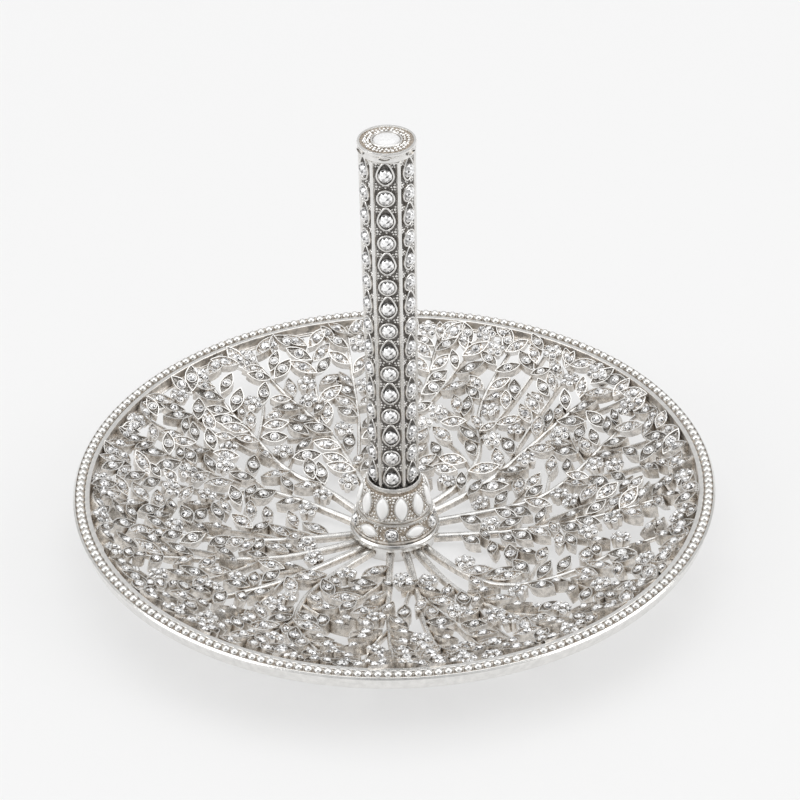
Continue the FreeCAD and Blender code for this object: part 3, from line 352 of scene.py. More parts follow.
def upright(face):
    return abs(face.normal.z) < .5


def band(low, high, within=0, beyond=math.inf):
    """Test for the faces between two heights and two distances from the post's axis."""
    def test(face):
        middle = face.calc_center_median()
        return low < middle.z < high and within < math.hypot(middle.x, middle.y) < beyond
    return test


def extrude(x=0, y=0, z=0):
    bpy.ops.mesh.extrude_region_move(TRANSFORM_OT_translate={"value": (x, y, z)})


def sink(edge, depth):
    """In edit mode, insets the faces picked and pushes them down."""
    bpy.ops.mesh.inset(thickness=edge)
    extrude(z=-depth)


def move(x=0, y=0, z=0):
    bpy.ops.transform.translate(value=(x, y, z))


def resize(x=1, y=1, z=1, centre=(0, 0, 0)):
    bpy.ops.transform.resize(value=(x, y, z), center_override=centre)


def named(name):
    piece = bpy.context.object
    piece.name = name
    piece.data.name = name
    return piece


def settled(name):
    """Names the piece just added and applies its place."""
    piece = named(name)
    only(piece)
    bpy.ops.object.transform_apply(location=True, rotation=True, scale=True)
    return piece


def smooth(piece, angle):
    only(piece)
    bpy.ops.object.shade_smooth_by_angle(angle=math.radians(angle))


def finish_shape(piece, angle=35):
    """Merges doubles, turns the faces outward and shades by angle."""
    with editing(piece):
        bpy.ops.mesh.select_all(action="SELECT")
        bpy.ops.mesh.remove_doubles(threshold=1e-6)
        bpy.ops.mesh.normals_make_consistent(inside=False)
    smooth(piece, angle)


def paint(piece, *finishes):
    piece.data.materials.clear()
    for name in finishes:
        piece.data.materials.append(FINISHES[name])


def paint_faces(piece, test, slot=1):
    """Gives a material slot to the faces that pass the test."""
    with editing(piece):
        pick(piece, "FACE", test)
        piece.active_material_index = slot
        bpy.ops.object.material_slot_assign()


def adjust(item, **values):
    for name, value in values.items():
        setattr(item, name, value)


def bevelled(piece, width, segments=2, angle=40):
    """A bevel on the sharp edges, applied."""
    only(piece)
    modifier = piece.modifiers.new("edge round", "BEVEL")
    adjust(modifier, width=width, segments=segments, limit_method="ANGLE", angle_limit=math.radians(angle))
    bpy.ops.object.modifier_apply(modifier=modifier.name)


def profile(edge, level, places):
    """Points of a section, each so many millimetres out from the edge and up from the level."""
    return [(edge + out * MM, level + up * MM) for out, up in places]


def turned(name, section, steps):
    """A piece spun about the post's axis from its closed half section: pairs of radius and height."""
    bpy.ops.mesh.primitive_plane_add(size=1, location=(section[0][0], 0, section[0][1]))
    piece = settled(name)
    with editing(piece):
        everything("VERT")
        bpy.ops.mesh.merge(type="CENTER")
        for (r0, z0), (r1, z1) in zip(section, section[1:] + section[:1]):
            extrude(r1 - r0, 0, z1 - z0)
        everything("VERT")
        bpy.ops.mesh.remove_doubles(threshold=1e-7)
        everything("VERT")
        bpy.ops.mesh.spin(steps=steps, angle=math.tau, center=(0, 0, 0), axis=(0, 0, 1))
    finish_shape(piece)
    return piece


def joined(pieces, name):
    only(*pieces)
    if len(pieces) > 1:
        bpy.ops.object.join()
    return named(name)


def discard(*pieces):
    for piece in pieces:
        bpy.data.objects.remove(piece)


def copied(proto, places, name):
    """One piece of many copies of the proto, each with its own mesh, at the given placements."""
    copies = []
    for place in places:
        mesh = proto.data.copy()
        mesh.transform(place)
        copy = bpy.data.objects.new(name, mesh)
        bpy.context.scene.collection.objects.link(copy)
        copies.append(copy)
    return joined(copies, name)


def set_out(proto, places, name):
    """One piece of copies of the proto, which is cleared away."""
    piece = copied(proto, places, name)
    discard(proto)
    return piece


def install(piece, slot, *nodes):
    """Sets a finished piece on the body, in place of the solids it stands for."""
    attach(piece, "root")
    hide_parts(*nodes)


# Seats on the surfaces

def shifted(x=0, y=0, z=0):
    return Matrix.Translation((x, y, z))


def radial(bearing):
    return Vector((math.cos(math.radians(bearing)), math.sin(math.radians(bearing)), 0))


def placement(place, across, up):
    """Placement of a proto: its X goes across, its Y up and its Z out of the surface."""
    turn = Matrix((across, up, across.cross(up))).transposed()
    return Matrix.Translation(place) @ turn.to_4x4()


def side_place(bearing, radius, height, lean=0):
    """Placement on a side that leans in by the given angle."""
    out = radial(bearing)
    across = Vector((-out.y, out.x, 0))
    up = Vector((0, 0, math.cos(lean))) - out * math.sin(lean)
    return placement(out * radius + Vector((0, 0, height)), across, up)


def level_ring(count, radius, height):
    """Placements at even steps round the axis, facing up, their Y outward."""
    places = []
    for k in range(count):
        out = radial(360 * k / count)
        places.append(placement(out * radius + Vector((0, 0, height)), Vector((out.y, -out.x, 0)), out))
    return places


def scattered(places, seed):
    """The places, each moved a little and with its own size, as grains laid by hand are."""
    chance = random.Random(seed)
    sizes = [chance.uniform(.7, 1.2) for _ in places]
    reach = .1 * MM
    shifts = [shifted(chance.uniform(-reach, reach), chance.uniform(-reach, reach)) for _ in places]
    return [place @ shift @ Matrix.Diagonal((size, size, size, 1))
            for place, shift, size in zip(places, shifts, sizes)]


# Plan of the sprays

class Bowl:
    """The surface that the tops of the leaves follow."""

    def __init__(self, dish):
        self.dish = dish
        self.flat = dish.flat_radius
        self.seat = PLATE[1].z
        self.top = RIM[0].z + dish.ledge_rise
        self.wall = RIM[1].x - dish.lip_width - dish.channel_width - dish.inner_lip_width
        self.ledge = self.wall - dish.ledge_width
        self.reach = self.ledge + dish.ledge_width / 2
        self.root = PLATE[1].x + ROOT_GAP
        self.step = dish.stem_root_width / 2

    def height(self, radius):
        share = (radius - self.flat) / (self.ledge - self.flat)
        return self.seat + (self.top - self.seat) * min(max(share, 0), 1) ** BOWL_POWER

    def stem_height(self, radius):
        """The height of a stem's ridge: sunk under the leaves but for its two ends."""
        dish = self.dish
        share = radius / self.reach
        sink = min(1, share * SINK_SHARE, max(0, (RISEN_SHARE - share) * RISE_SHARE))
        return self.height(radius) - dish.leaf_pride - (dish.rim_pride - dish.leaf_pride) * sink

    def leaf_height(self, radius):
        """The height of the leaves, lifted at the rim so that their tips lie over the ledge."""
        near = self.dish.leaf_length * 2
        return self.height(radius) + self.dish.rim_lift * min(max((radius - self.ledge + near) / near, 0), 1)

    def normal(self, x, y):
        radius = math.hypot(x, y)
        away = Vector((x / radius, y / radius, 0))
        apart = self.step / 2
        slope = (self.leaf_height(radius + apart) - self.leaf_height(radius - apart)) / (2 * apart)
        return (Vector((0, 0, 1)) - away * slope).normalized()

    def seat_at(self, x, y, heading, lift, tilt, nod):
        """Placement on the bowl, its Y along the heading, tilted about it and nodding."""
        normal = self.normal(x, y)
        level = Vector((math.cos(heading), math.sin(heading), 0))
        up = (level - normal * normal.dot(level)).normalized()
        place = Vector((x, y, self.leaf_height(math.hypot(x, y)))) + normal * lift
        seat = placement(place, up.cross(normal), up)
        return seat @ Matrix.Rotation(tilt, 4, "Y") @ Matrix.Rotation(nod, 4, "X")

    def place(self, share, bearing):
        spot = radial(bearing) * (self.root + share * (self.reach - self.root))
        return (spot.x, spot.y)

    def smooth_run(self, places, spacing):
        """Points about one spacing apart on a smooth curve through the places."""
        pts = [self.place(*item) for item in places]
        before = tuple(2 * a - b for a, b in zip(pts[0], pts[1]))
        after = tuple(2 * a - b for a, b in zip(pts[-1], pts[-2]))
        guide = [before] + pts + [after]
        run = []
        for k in range(1, len(guide) - 2):
            around = guide[k - 1:k + 3]
            parts = max(1, round(math.dist(around[1], around[2]) / spacing))
            run += [spline_point(around, i / parts) for i in range(parts)]
        return run + [pts[-1]]


def spline_point(around, t):
    """A point between the middle two of four places, on the curve through them."""
    return tuple(
        0.5 * (2 * b + (c - a) * t + (2 * a - 5 * b + 4 * c - d) * t * t + (3 * b - a - 3 * c + d) * t ** 3)
        for a, b, c, d in zip(*around))


def stations(run, first, pitch):
    """Places at even steps along a run, each with its heading."""
    found = []
    gone = 0
    want = first
    for a, b in zip(run, run[1:]):
        span = math.dist(a, b)
        while gone + span >= want:
            share = (want - gone) / span
            heading = math.atan2(b[1] - a[1], b[0] - a[0])
            found.append((a[0] + share * (b[0] - a[0]), a[1] + share * (b[1] - a[1]), heading))
            want += pitch
        gone += span
    return found


def thinned(run, spacing):
    """The run with points about one spacing apart, its ends kept."""
    total = sum(math.dist(a, b) for a, b in zip(run, run[1:]))
    parts = max(2, round(total / spacing))
    inner = stations(run, total / parts, total / parts)[:parts - 1]
    return [run[0]] + [spot[:2] for spot in inner] + [run[-1]]


def aside(x, y, heading, gap):
    return (x + math.cos(heading) * gap, y + math.sin(heading) * gap, heading)


class Crowd:
    """Discs on the bowl, kept by square so that neighbours are found fast."""

    def __init__(self, square):
        self.square = square
        self.squares = {}

    def square_of(self, x, y):
        return math.floor(x / self.square), math.floor(y / self.square)

    def add(self, discs):
        for disc in discs:
            self.squares.setdefault(self.square_of(*disc[:2]), []).append(disc)

    def near(self, x, y):
        a, b = self.square_of(x, y)
        return [disc for i in (-1, 0, 1) for j in (-1, 0, 1) for disc in self.squares.get((a + i, b + j), ())]

    def touches(self, discs, overlap):
        return any(math.hypot(a - x, b - y) < q + r - overlap
                   for x, y, r in discs for a, b, q in self.near(x, y))


class Plan:
    """The sprays in plan: stems, the solids' own leaves and blossoms, then what fills the gaps."""

    def __init__(self, bowl):
        self.dish = bowl.dish
        self.bowl = bowl
        self.outer = bowl.ledge
        self.taken = Crowd(self.dish.leaf_length)
        self.sprays = [self.bare_spray(row) for row in SPRAY_SHARES]
        self.add_trios()
        self.add_rows()
        self.outer = bowl.wall
        self.fill_beside()
        self.fill_over()
        self.fill_rim()

    def bare_spray(self, row):
        """A stem and its forks, each fork's foot moved on to the stem."""
        bowl = self.bowl
        runs = [thinned(bowl.smooth_run(places, bowl.step), self.dish.stem_step) for places in row]
        along = [spot[:2] for spot in stations(runs[0], 0, bowl.step)]
        for run in runs[1:]:
            run[0] = min(along, key=lambda spot: math.dist(spot, run[0]))
        stems = Crowd(self.dish.leaf_length)
        half = self.dish.fork_width / 2
        stems.add([spot[:2] + (half,) for run in runs for spot in stations(run, 0, bowl.step)])
        return SimpleNamespace(
            runs=runs, free=[places[-1][0] < 1 for places in row], stems=stems,
            leaves=[], blossoms=[], small_leaves=[], over_leaves=[])

    def leaf_discs(self, x, y, heading, scale):
        """The discs that stand for a leaf: one at its middle and one towards each end."""
        long, wide = self.dish.leaf_length * scale, self.dish.leaf_width * scale
        return [aside(x, y, heading, off * long)[:2] + (size * wide,) for off, size in LEAF_DISC_SHARES]

    def inside(self, discs):
        low = HUB_LOWER[1].x + self.dish.leaf_width / 2
        return all(low + r < math.hypot(x, y) < self.outer - r / 2 for x, y, r in discs)

    def take(self, discs, spray, overlap):
        """Claims the discs when they are inside the dish and clear of what is there."""
        crowds = [self.taken] + [other.stems for other in self.sprays if other is not spray]
        room = self.inside(discs) and not any(crowd.touches(discs, overlap) for crowd in crowds)
        if room:
            self.taken.add(discs)
        return room

    def add_leaf(self, spray, leaf, scale, found, overlap):
        """Adds a leaf to those found, and tells whether it had room."""
        room = self.take(self.leaf_discs(*leaf, scale), spray, overlap)
        if room:
            found.append(leaf)
        return room

    def add_trios(self):
        """Three leaves where a fork ends short of the rim."""
        for spray in self.sprays:
            for (x0, y0), (x1, y1) in [run[-2:] for run, free in zip(spray.runs, spray.free) if free]:
                ahead = math.atan2(y1 - y0, x1 - x0)
                for turn in TRIO_TURNS:
                    leaf = aside(x1, y1, ahead + math.radians(turn), self.dish.leaf_length * LEAF_FOOT_SHARE)
                    self.add_leaf(spray, leaf, 1, spray.leaves, self.dish.solder_overlap)

    def along_stems(self, pitch):
        """Places at even steps along every stem, each with its spray, count and half width."""
        for spray in self.sprays:
            for run in spray.runs:
                wide = self.dish.stem_root_width if run is spray.runs[0] else self.dish.fork_width
                places = stations(run, pitch, pitch)
                for k, place in enumerate(places):
                    yield spray, k, place, (wide + (self.dish.stem_tip_width - wide) * k / len(places)) / 2

    def add_rows(self):
        """Leaves and blossoms by turns along every stem, on alternate sides."""
        for spray, k, place, half in self.along_stems(self.dish.leaf_pitch):
            side = 1 if k % 2 else -1
            if STATION_KINDS[k % len(STATION_KINDS)] == "leaf":
                self.add_leaf_beside(spray, place, side, half, 1, spray.leaves, self.dish.solder_overlap)
            else:
                self.add_blossom(spray, place, side, half)

    def add_leaf_beside(self, spray, place, side, half, scale, found, overlap):
        """A leaf whose foot meets the side of its stem, where there is room for one."""
        x, y, heading = place
        for turn in LEAF_TURNS:
            gap = half + self.dish.leaf_length * LEAF_FOOT_SHARE * scale
            leaf = aside(x, y, heading + side * math.radians(turn), gap)
            foot = self.leaf_discs(*leaf, scale)[:2]
            if not spray.stems.touches(foot, overlap) and self.add_leaf(spray, leaf, scale, found, overlap):
                return

    def add_blossom(self, spray, place, side, half):
        """A blossom beside its stem, its middle clear of the spray's other stems."""
        x, y, heading = place
        overlap = self.dish.solder_overlap
        reach = self.dish.blossom_radius * BLOSSOM_STAND_SHARE
        for turn in BLOSSOM_TURNS:
            blossom = aside(x, y, heading + side * math.radians(turn), half + reach)
            middle, petals = [blossom[:2] + (size,) for size in (reach, self.dish.blossom_radius - overlap)]
            if not spray.stems.touches([middle], overlap) and self.take([petals], spray, overlap):
                spray.blossoms.append(blossom)
                return

    def fill_beside(self):
        """Leaves on both sides of the stems where the solids have none, then small ones."""
        for scale, share, kind in zip((1, SMALL_SHARE), FILLED_SHARES, ("leaves", "small_leaves")):
            for spray, _, place, half in self.along_stems(self.dish.fill_pitch):
                if math.hypot(*place[:2]) < self.bowl.reach * share:
                    continue
                for side in (1, -1):
                    self.add_leaf_beside(spray, place, side, half, scale, getattr(spray, kind), self.dish.lap)

    def fill_over(self):
        """Small leaves over the stems."""
        for spray, k, (x, y, heading), _ in self.along_stems(self.dish.fill_pitch):
            leaf = (x, y, heading + math.radians(OVER_TURN) * (1 if k % 2 else -1))
            if k % OVER_STEP == 0 and math.hypot(x, y) > self.bowl.reach * FILLED_SHARES[0]:
                self.add_leaf(spray, leaf, SMALL_SHARE, spray.over_leaves, self.dish.lap)

    def fill_rim(self):
        """Leaves along the rim, which may lie over their neighbours by several laps."""
        count = int(math.tau * self.bowl.reach / self.dish.fill_pitch)
        overlap = self.dish.lap * RIM_LAPS
        for k in range(count):
            bearing = 360 * k / count
            spot = radial(bearing) * (self.bowl.wall - self.dish.leaf_length * LEAF_FOOT_SHARE)
            leaf = (spot.x, spot.y, math.radians(bearing + RIM_TURNS[k % len(RIM_TURNS)]))
            spray = min(self.sprays, key=lambda item: min(math.dist(spot.xy, run[-1]) for run in item.runs))
            if not self.add_leaf(spray, leaf, 1, spray.leaves, overlap):
                self.add_leaf(spray, leaf, SMALL_SHARE, spray.small_leaves, overlap)


# Finishes

class Nodes:
    """A tree of shader nodes, built up node by node."""

    def __init__(self, tree, space):
        self.tree = tree
        self.space = self.add("TexCoord").outputs[space]

    def add(self, kind, **sockets):
        node = self.tree.nodes.new("ShaderNode" + kind)
        self.feed(node, **sockets)
        return node

    def feed(self, node, **sockets):
        """Gives sockets, by identifier, a number, a colour or another node's output."""
        for name, value in sockets.items():
            socket = next(item for item in node.inputs if item.identifier in (name, name.replace("_", " ")))
            if hasattr(value, "is_output"):
                self.tree.links.new(value, socket)
            else:
                socket.default_value = tuple(value) + (1,) if socket.type == "RGBA" else value

    def ramp(self, source, *stops):
        """Maps a value through stops: pairs of place and grey or colour."""
        node = self.add("ValToRGB", Fac=source)
        elements = node.color_ramp.elements
        elements.remove(elements[1])
        for k, (place, shade) in enumerate(stops):
            element = elements[0] if k == 0 else elements.new(place)
            element.position = place
            grey = isinstance(shade, (int, float))
            element.color = ((shade,) * 3 if grey else tuple(shade)) + (1,)
        return node.outputs["Color"]

    def mix(self, factor, first, second, blend="MIX"):
        node = self.add("Mix")
        adjust(node, data_type="RGBA", blend_type=blend)
        self.feed(node, Factor_Float=factor, A_Color=first, B_Color=second)
        return next(item for item in node.outputs if item.identifier == "Result_Color")

    def times(self, first, second):
        return self.mix(1, first, second, "MULTIPLY")

    def along(self, vector, direction):
        """How far a vector points along a direction."""
        node = self.add("VectorMath", Vector=vector, Vector_001=direction)
        node.operation = "DOT_PRODUCT"
        return node.outputs["Value"]


class Shader(Nodes):
    """A material with a principled shader, whose sockets are set by name."""

    def __init__(self, name, **sockets):
        self.material = bpy.data.materials.new(name)
        self.material.use_nodes = True
        super().__init__(self.material.node_tree, "Object")
        self.set(**sockets)

    def set(self, **sockets):
        self.feed(self.tree.nodes["Principled BSDF"], **sockets)

    def noise(self, scale, detail=3):
        return self.add("TexNoise", Vector=self.space, Scale=scale, Detail=detail).outputs["Fac"]

    def cloud(self, scale, *stops, detail=3):
        """Soft patches that run through the stops."""
        return self.ramp(self.noise(scale, detail), *stops)

    def cells(self, scale, output):
        return self.add("TexVoronoi", Vector=self.space, Scale=scale).outputs[output]

    def maths(self, operation, first, second=0):
        node = self.add("Math", Value=first, Value_001=second)
        node.operation = operation
        return node.outputs["Value"]

    def recess(self, distance, weight):
        """Bright in corners and hollows, black on open faces."""
        node = self.add("AmbientOcclusion", Distance=distance)
        node.samples = 6
        return self.maths("MULTIPLY", self.ramp(node.outputs["AO"], (.25, 1), (.8, 0)), weight)

    def upright(self, weight):
        """Bright on upright walls, black on level faces: the mask for the shade painted on walls."""
        level = self.maths("ABSOLUTE", self.along(self.add("NewGeometry").outputs["Normal"], (0, 0, 1)))
        return self.maths("MULTIPLY", self.ramp(level, (.35, 1), (.75, 0)), weight)

    def facets(self):
        """A value that is the same all over a flat facet and another on the next one."""
        normal = self.add("NewGeometry").outputs["True Normal"]
        return self.maths("FRACT", self.along(normal, (41.3, 57.9, 33.1)))

    def bump(self, height, strength, distance):
        node = self.add("Bump", Strength=strength, Distance=distance, Height=height)
        self.set(Normal=node.outputs["Normal"])


def bright_silver(finish):
    """Polished casting with warm tarnish left in its hollows."""
    look = Shader("bright_silver", Metallic=1)
    worn = look.mix(look.recess(.9 * MM, .55), finish.silver, finish.tarnish)
    look.set(Base_Color=look.times(worn, look.cloud(700, (.35, .88), (.7, 1))),
             Roughness=look.cloud(1500, (.3, .12), (.75, .28)))
    look.bump(look.noise(2600, 4), .22, .1 * MM)
    return look.material


def polished_silver(finish):
    """Small grains, rubbed bright all over."""
    look = Shader("polished_silver", Metallic=.9)
    look.set(Base_Color=look.cloud(2000, (.3, [.94 * c for c in finish.silver]), (.7, (1, .99, .97))),
             Roughness=look.cloud(1500, (.3, .16), (.75, .3)))
    return look.material


def cast_silver(finish):
    """Cast foliage: bright edges, painted shade in smudged warm grey on upright walls, tarnish in recesses,
    rough skin.
    """
    look = Shader("cast_silver", Metallic=.85)
    painted_wall_shade = look.times(finish.wall, look.cloud(950, (.35, .6), (.6, 1.05), detail=4))
    level = look.times(finish.silver, look.cloud(420, (.35, .74), (.65, 1)))
    # Painted shade: upright walls take the warm wall colour, level faces the bright silver
    walls = look.mix(look.upright(.92), level, painted_wall_shade)
    look.set(Base_Color=look.mix(look.recess(.7 * MM, .6), walls, finish.tarnish),
             Roughness=look.cloud(1800, (.3, .18), (.75, .42)))
    look.bump(look.noise(1300), .22, .2 * MM)
    return look.material


def tarnished_silver(finish):
    """Painted shade for walls: the warm wall colour with darker smudges."""
    look = Shader("tarnished_silver", Metallic=.7)
    smudges = look.cloud(620, (.38, .55), (.5, .9), (.7, 1.1), detail=4)
    look.set(Base_Color=look.times(finish.wall, smudges), Roughness=look.cloud(1200, (.3, .3), (.7, .5)))
    look.bump(look.noise(2400, 4), .4, .15 * MM)
    return look.material


def grain_field(finish, name, ground, share):
    """A ground with bright grains all over it."""
    look = Shader(name, Metallic=.9, Roughness=.3)
    grains = look.cells(2600, "Distance")
    look.set(Base_Color=look.mix(look.ramp(grains, (share, 1), (share + .22, 0)), ground, finish.silver))
    look.bump(look.ramp(grains, (0, 1), (.55, 0)), .9, .25 * MM)
    return look.material


def close_set_crystal(finish):
    """Tiny clear stones set close together, each with its own tone."""
    look = Shader("close_set_crystal", Metallic=.6, Roughness=.14, Coat_Weight=.6)
    tones = ((.28, finish.tarnish), (.36, .55), (.5, .8), (.62, finish.crystal))
    look.set(Base_Color=look.ramp(look.cells(2400, "Color"), *tones))
    look.bump(look.ramp(look.cells(2400, "Distance"), (0, 1), (.6, 0)), .8, .25 * MM)
    return look.material


def foiled_crystal(finish):
    """Clear stones with foil behind, their reflections painted facet by facet: mostly bright, some facets
    grey and a few dark, the brightest glowing a little as painted glints.
    """
    look = Shader("foiled_crystal", Metallic=.55, Roughness=.06, IOR=1.6, Coat_Weight=1, Coat_Roughness=.02)
    facets = look.facets()
    # Painted reflections: each facet takes a dark, grey or bright tone from the way it faces
    shade = look.ramp(facets, (.14, 0), (.2, .4), (.42, .6), (.5, .95))
    clear = look.mix(shade, finish.facet_reflection_dark, finish.crystal)
    # Painted glints: the brightest facets glow a little
    look.set(Base_Color=look.times(clear, look.cloud(2500, (.3, .85), (.7, 1))),
             Emission_Color=finish.crystal, Emission_Strength=look.ramp(facets, (.5, 0), (.56, .12)))
    return look.material


def milky_white(name, white, glow):
    """White with a coat, glowing by the given amount: that glow is painted light."""
    look = Shader(
        name, Roughness=.22, Coat_Weight=.5, Coat_Roughness=.08, Emission_Color=white, Emission_Strength=glow)
    look.set(Base_Color=look.mix(look.cloud(900, (.3, .94), (.7, 1)), [.93 * c for c in white], white))
    look.bump(look.noise(500), .08, .12 * MM)
    return look.material


def plain_steel(finish):
    look = Shader("plain_steel", Metallic=1, Base_Color=finish.steel)
    look.set(Roughness=look.cloud(2400, (.3, .28), (.7, .45)))
    return look.material


def pale_floor(finish, glow):
    """A floor lit from behind."""
    look = Shader("pale_floor", Roughness=.55, Emission_Color=finish.floor, Emission_Strength=glow)
    look.set(Base_Color=look.cloud(9, (.2, [.985 * c for c in finish.floor]), (.8, finish.floor)))
    look.bump(look.noise(900), .03, .2 * MM)
    return look.material


# Protos, each modelled once at the origin with its face up

def round_disc(corners, width):
    bpy.ops.mesh.primitive_circle_add(
        vertices=corners, radius=width / 2, fill_type="NGON", location=(0, 0, 0))
    return named("disc")


def almond_disc(wide, long, pinch):
    """A flat almond: a disc stretched, each row of its corners squeezed the more the nearer to its ends."""
    corners = 16
    piece = round_disc(corners, 2)
    with editing(piece):
        for k in range(1, corners // 4):
            row = math.sin(math.tau * k / corners)
            pick(piece, "VERT", lambda v: abs(abs(v.co.y) - row) < 1e-4)
            resize((1 - row * row) ** (pinch / 2))
        everything()
        resize(wide / 2, long / 2)
    return piece


def drop_disc(corners, wide, reach):
    """A round disc with its top drawn out to an arch and its foot to a short point."""
    piece = round_disc(corners, wide)
    with editing(piece):
        for row, share in enumerate(DROP_SHARES):
            level = math.cos(row * math.tau / corners) * wide / 2
            for side, drawn in ((1, reach), (-1, -reach * DROP_FOOT_SHARE)):
                pick(piece, "VERT", lambda v: abs(v.co.y - side * level) < wide * 1e-3)
                move(y=drawn * share)
    return piece


def grain_proto(width, finish):
    bpy.ops.mesh.primitive_ico_sphere_add(subdivisions=1, radius=width / 2, location=(0, 0, 0))
    piece = named("grain")
    only(piece)
    bpy.ops.object.shade_smooth()
    paint(piece, finish)
    return piece


def standing(name, corners, radius, height, foot=0):
    """A cylinder that stands at the given height."""
    bpy.ops.mesh.primitive_cylinder_add(
        vertices=corners, radius=radius, depth=height, location=(0, 0, foot + height / 2))
    return settled(name)


def collar(stone, wall, foot, height):
    """A round hoop for a stone, standing on the floor at the given height."""
    piece = standing("collar", 10, stone / 2 + wall, height, foot)
    with editing(piece):
        pick(piece, "FACE", face_up())
        sink(wall, height / 2)
    paint(piece, "cast")
    return piece


def leaf_proto(dish, stones, pave):
    """A leaf: thin raised edge round a sunk floor, with the collar of its stone and grains."""
    piece = almond_disc(dish.leaf_width, dish.leaf_length, 1)
    with editing(piece):
        everything()
        extrude(z=-dish.lattice_thickness)
    finish_shape(piece)
    with editing(piece):
        pick(piece, "FACE", face_down)
        resize(.8, .9, 1, (0, 0, -dish.lattice_thickness))
        pick(piece, "FACE", face_up(0))
        sink(dish.leaf_rim, dish.leaf_depth)
    finish_shape(piece, 30)
    floor = -dish.leaf_depth
    paint(piece, "cast", "pave" if pave else "leaf_floor")
    paint_faces(piece, face_up(floor))
    stone = stones.leaf_stone * (.8 if pave else 1)
    spots = [(0, .3), (0, -.3), (0, .39), (0, -.39)]
    if pave:
        spots += [(s * .22, t * .19) for s in (1, -1) for t in (1, -1)]
    places = [shifted(x * dish.leaf_width, y * dish.leaf_length, floor) for x, y in spots]
    collars = collar(stone, .13 * MM, floor, dish.leaf_depth * 1.1)
    return joined([piece, collars, set_out(grain_proto(.42 * MM, "cast"), places, "grains")], "leaf")


def bud_proto(dish, stones):
    """One petal or bud: a tall collar, a little narrower at its foot."""
    tall = dish.lattice_thickness
    piece = standing("bud", 10, dish.bud_radius, tall, -tall)
    with editing(piece):
        pick(piece, "FACE", face_down)
        resize(.75, .75, 1, (0, 0, -tall))
        pick(piece, "FACE", face_up())
        sink(dish.bud_radius - stones.blossom_stone / 2, dish.leaf_depth / 2)
    finish_shape(piece)
    paint(piece, "cast")
    return piece


def petal_places(dish):
    """Places of a blossom's petals and of its middle, about its own axis."""
    reach = dish.blossom_radius - dish.bud_radius
    places = []
    for k in range(5):
        turn = math.tau * (k + .25) / 5
        tilt = Matrix.Rotation(.22, 4, (-math.sin(turn), math.cos(turn), 0))
        places.append(shifted(reach * math.cos(turn), reach * math.sin(turn), -.1 * MM * (k % 3)) @ tilt)
    return places + [shifted(z=.35 * MM)]


def blossom_proto(dish, stones):
    """A five-petalled blossom of buds round a raised middle, with grains in its notches."""
    reach = dish.blossom_radius * .8
    turns = [math.tau * (k + .75) / 5 for k in range(5)]
    notches = [shifted(reach * math.cos(turn), reach * math.sin(turn), -.1 * MM) for turn in turns]
    return joined([set_out(bud_proto(dish, stones), petal_places(dish), "petals"),
                   set_out(grain_proto(.5 * MM, "cast"), notches, "grains")], "blossom")


def stone_proto(size, corners):
    """A cut stone: girdle, sloping crown turned half a facet, and a table that rises a little."""
    piece = standing("stone", corners, size / 2, size * .14)
    with editing(piece):
        for rise, share in ((.156, .8), (.104, .66)):
            pick(piece, "FACE", face_up())
            extrude(z=size * rise)
            resize(share, share)
            bpy.ops.transform.rotate(value=math.pi / corners, orient_axis="Z", center_override=(0, 0, 0))
        pick(piece, "FACE", face_up())
        bpy.ops.mesh.poke(offset=size * .05)
        everything()
        bpy.ops.mesh.quads_convert_to_tris()
    paint(piece, "crystal")
    return piece


def hoop_proto(disc, wall, height, floor="antique"):
    """Raises a flat outline into a hoop that stands up from just under the surface. Its sunk floor takes the
    given finish; the dark antique one, the default, is painted shade round the stone.
    """
    with editing(disc):
        everything()
        move(z=-height * .6)
        extrude(z=height * 1.6)
    finish_shape(disc)
    with editing(disc):
        pick(disc, "FACE", face_up())
        sink(wall, height * .85)
    bevelled(disc, wall * .3, 2, 60)
    finish_shape(disc, 50)
    paint(disc, "bright", floor)
    # Painted shade: the sunk floor inside the hoop, seen in the gap round the stone
    paint_faces(disc, lambda f: f.normal.z > .9 and f.calc_center_median().z < height * .3)
    return disc


def almond_hoop(wide, long, wall, height):
    return hoop_proto(almond_disc(wide + 2 * wall, long + 2 * wall, .55), wall, height, "bright")


def almond_proto(wide, long, rise):
    """A domed enamel almond."""
    piece = almond_disc(wide, long, .55)
    with editing(piece):
        everything()
        move(z=-rise * .3)
        for height, scale in ((.7, .96), (.3, .86), (.2, .7), (.08, .5)):
            extrude(z=rise * height)
            resize(scale, scale)
    finish_shape(piece, 60)
    paint(piece, "enamel")
    return piece


def swept_bar(bowl, run, wide, name):
    """A bar along a run: a path with the stem's section swept along it, made into a mesh."""
    dish = bowl.dish
    tall = dish.lattice_thickness - dish.rim_pride
    bpy.ops.curve.primitive_nurbs_path_add(location=(0, 0, 0))
    path = bpy.context.object
    path.data.splines.clear()
    spline = path.data.splines.new("NURBS")
    spline.points.add(len(run) - 1)
    for k, (point, (x, y)) in enumerate(zip(spline.points, run)):
        point.co = (x, y, bowl.stem_height(math.hypot(x, y)), 1)
        point.radius = (wide + (dish.stem_tip_width - wide) * k / (len(run) - 1)) / wide
    adjust(spline, use_endpoint_u=True, order_u=3, resolution_u=6)
    bpy.ops.curve.primitive_bezier_circle_add(location=(0, 0, 0))
    section = bpy.context.object
    section.data.splines.clear()
    outline = section.data.splines.new("POLY")
    outline.points.add(len(STEM_SECTION_SHARES) - 1)
    for point, (across, up) in zip(outline.points, STEM_SECTION_SHARES):
        point.co = (across * wide, up * tall, 0, 1)
    outline.use_cyclic_u = True
    adjust(path.data, dimensions="3D", twist_mode="Z_UP", bevel_mode="OBJECT", bevel_object=section,
           use_fill_caps=True)
    only(path)
    bpy.ops.object.convert(target="MESH")
    bar = named(name)
    discard(section)
    return bar


# Operators

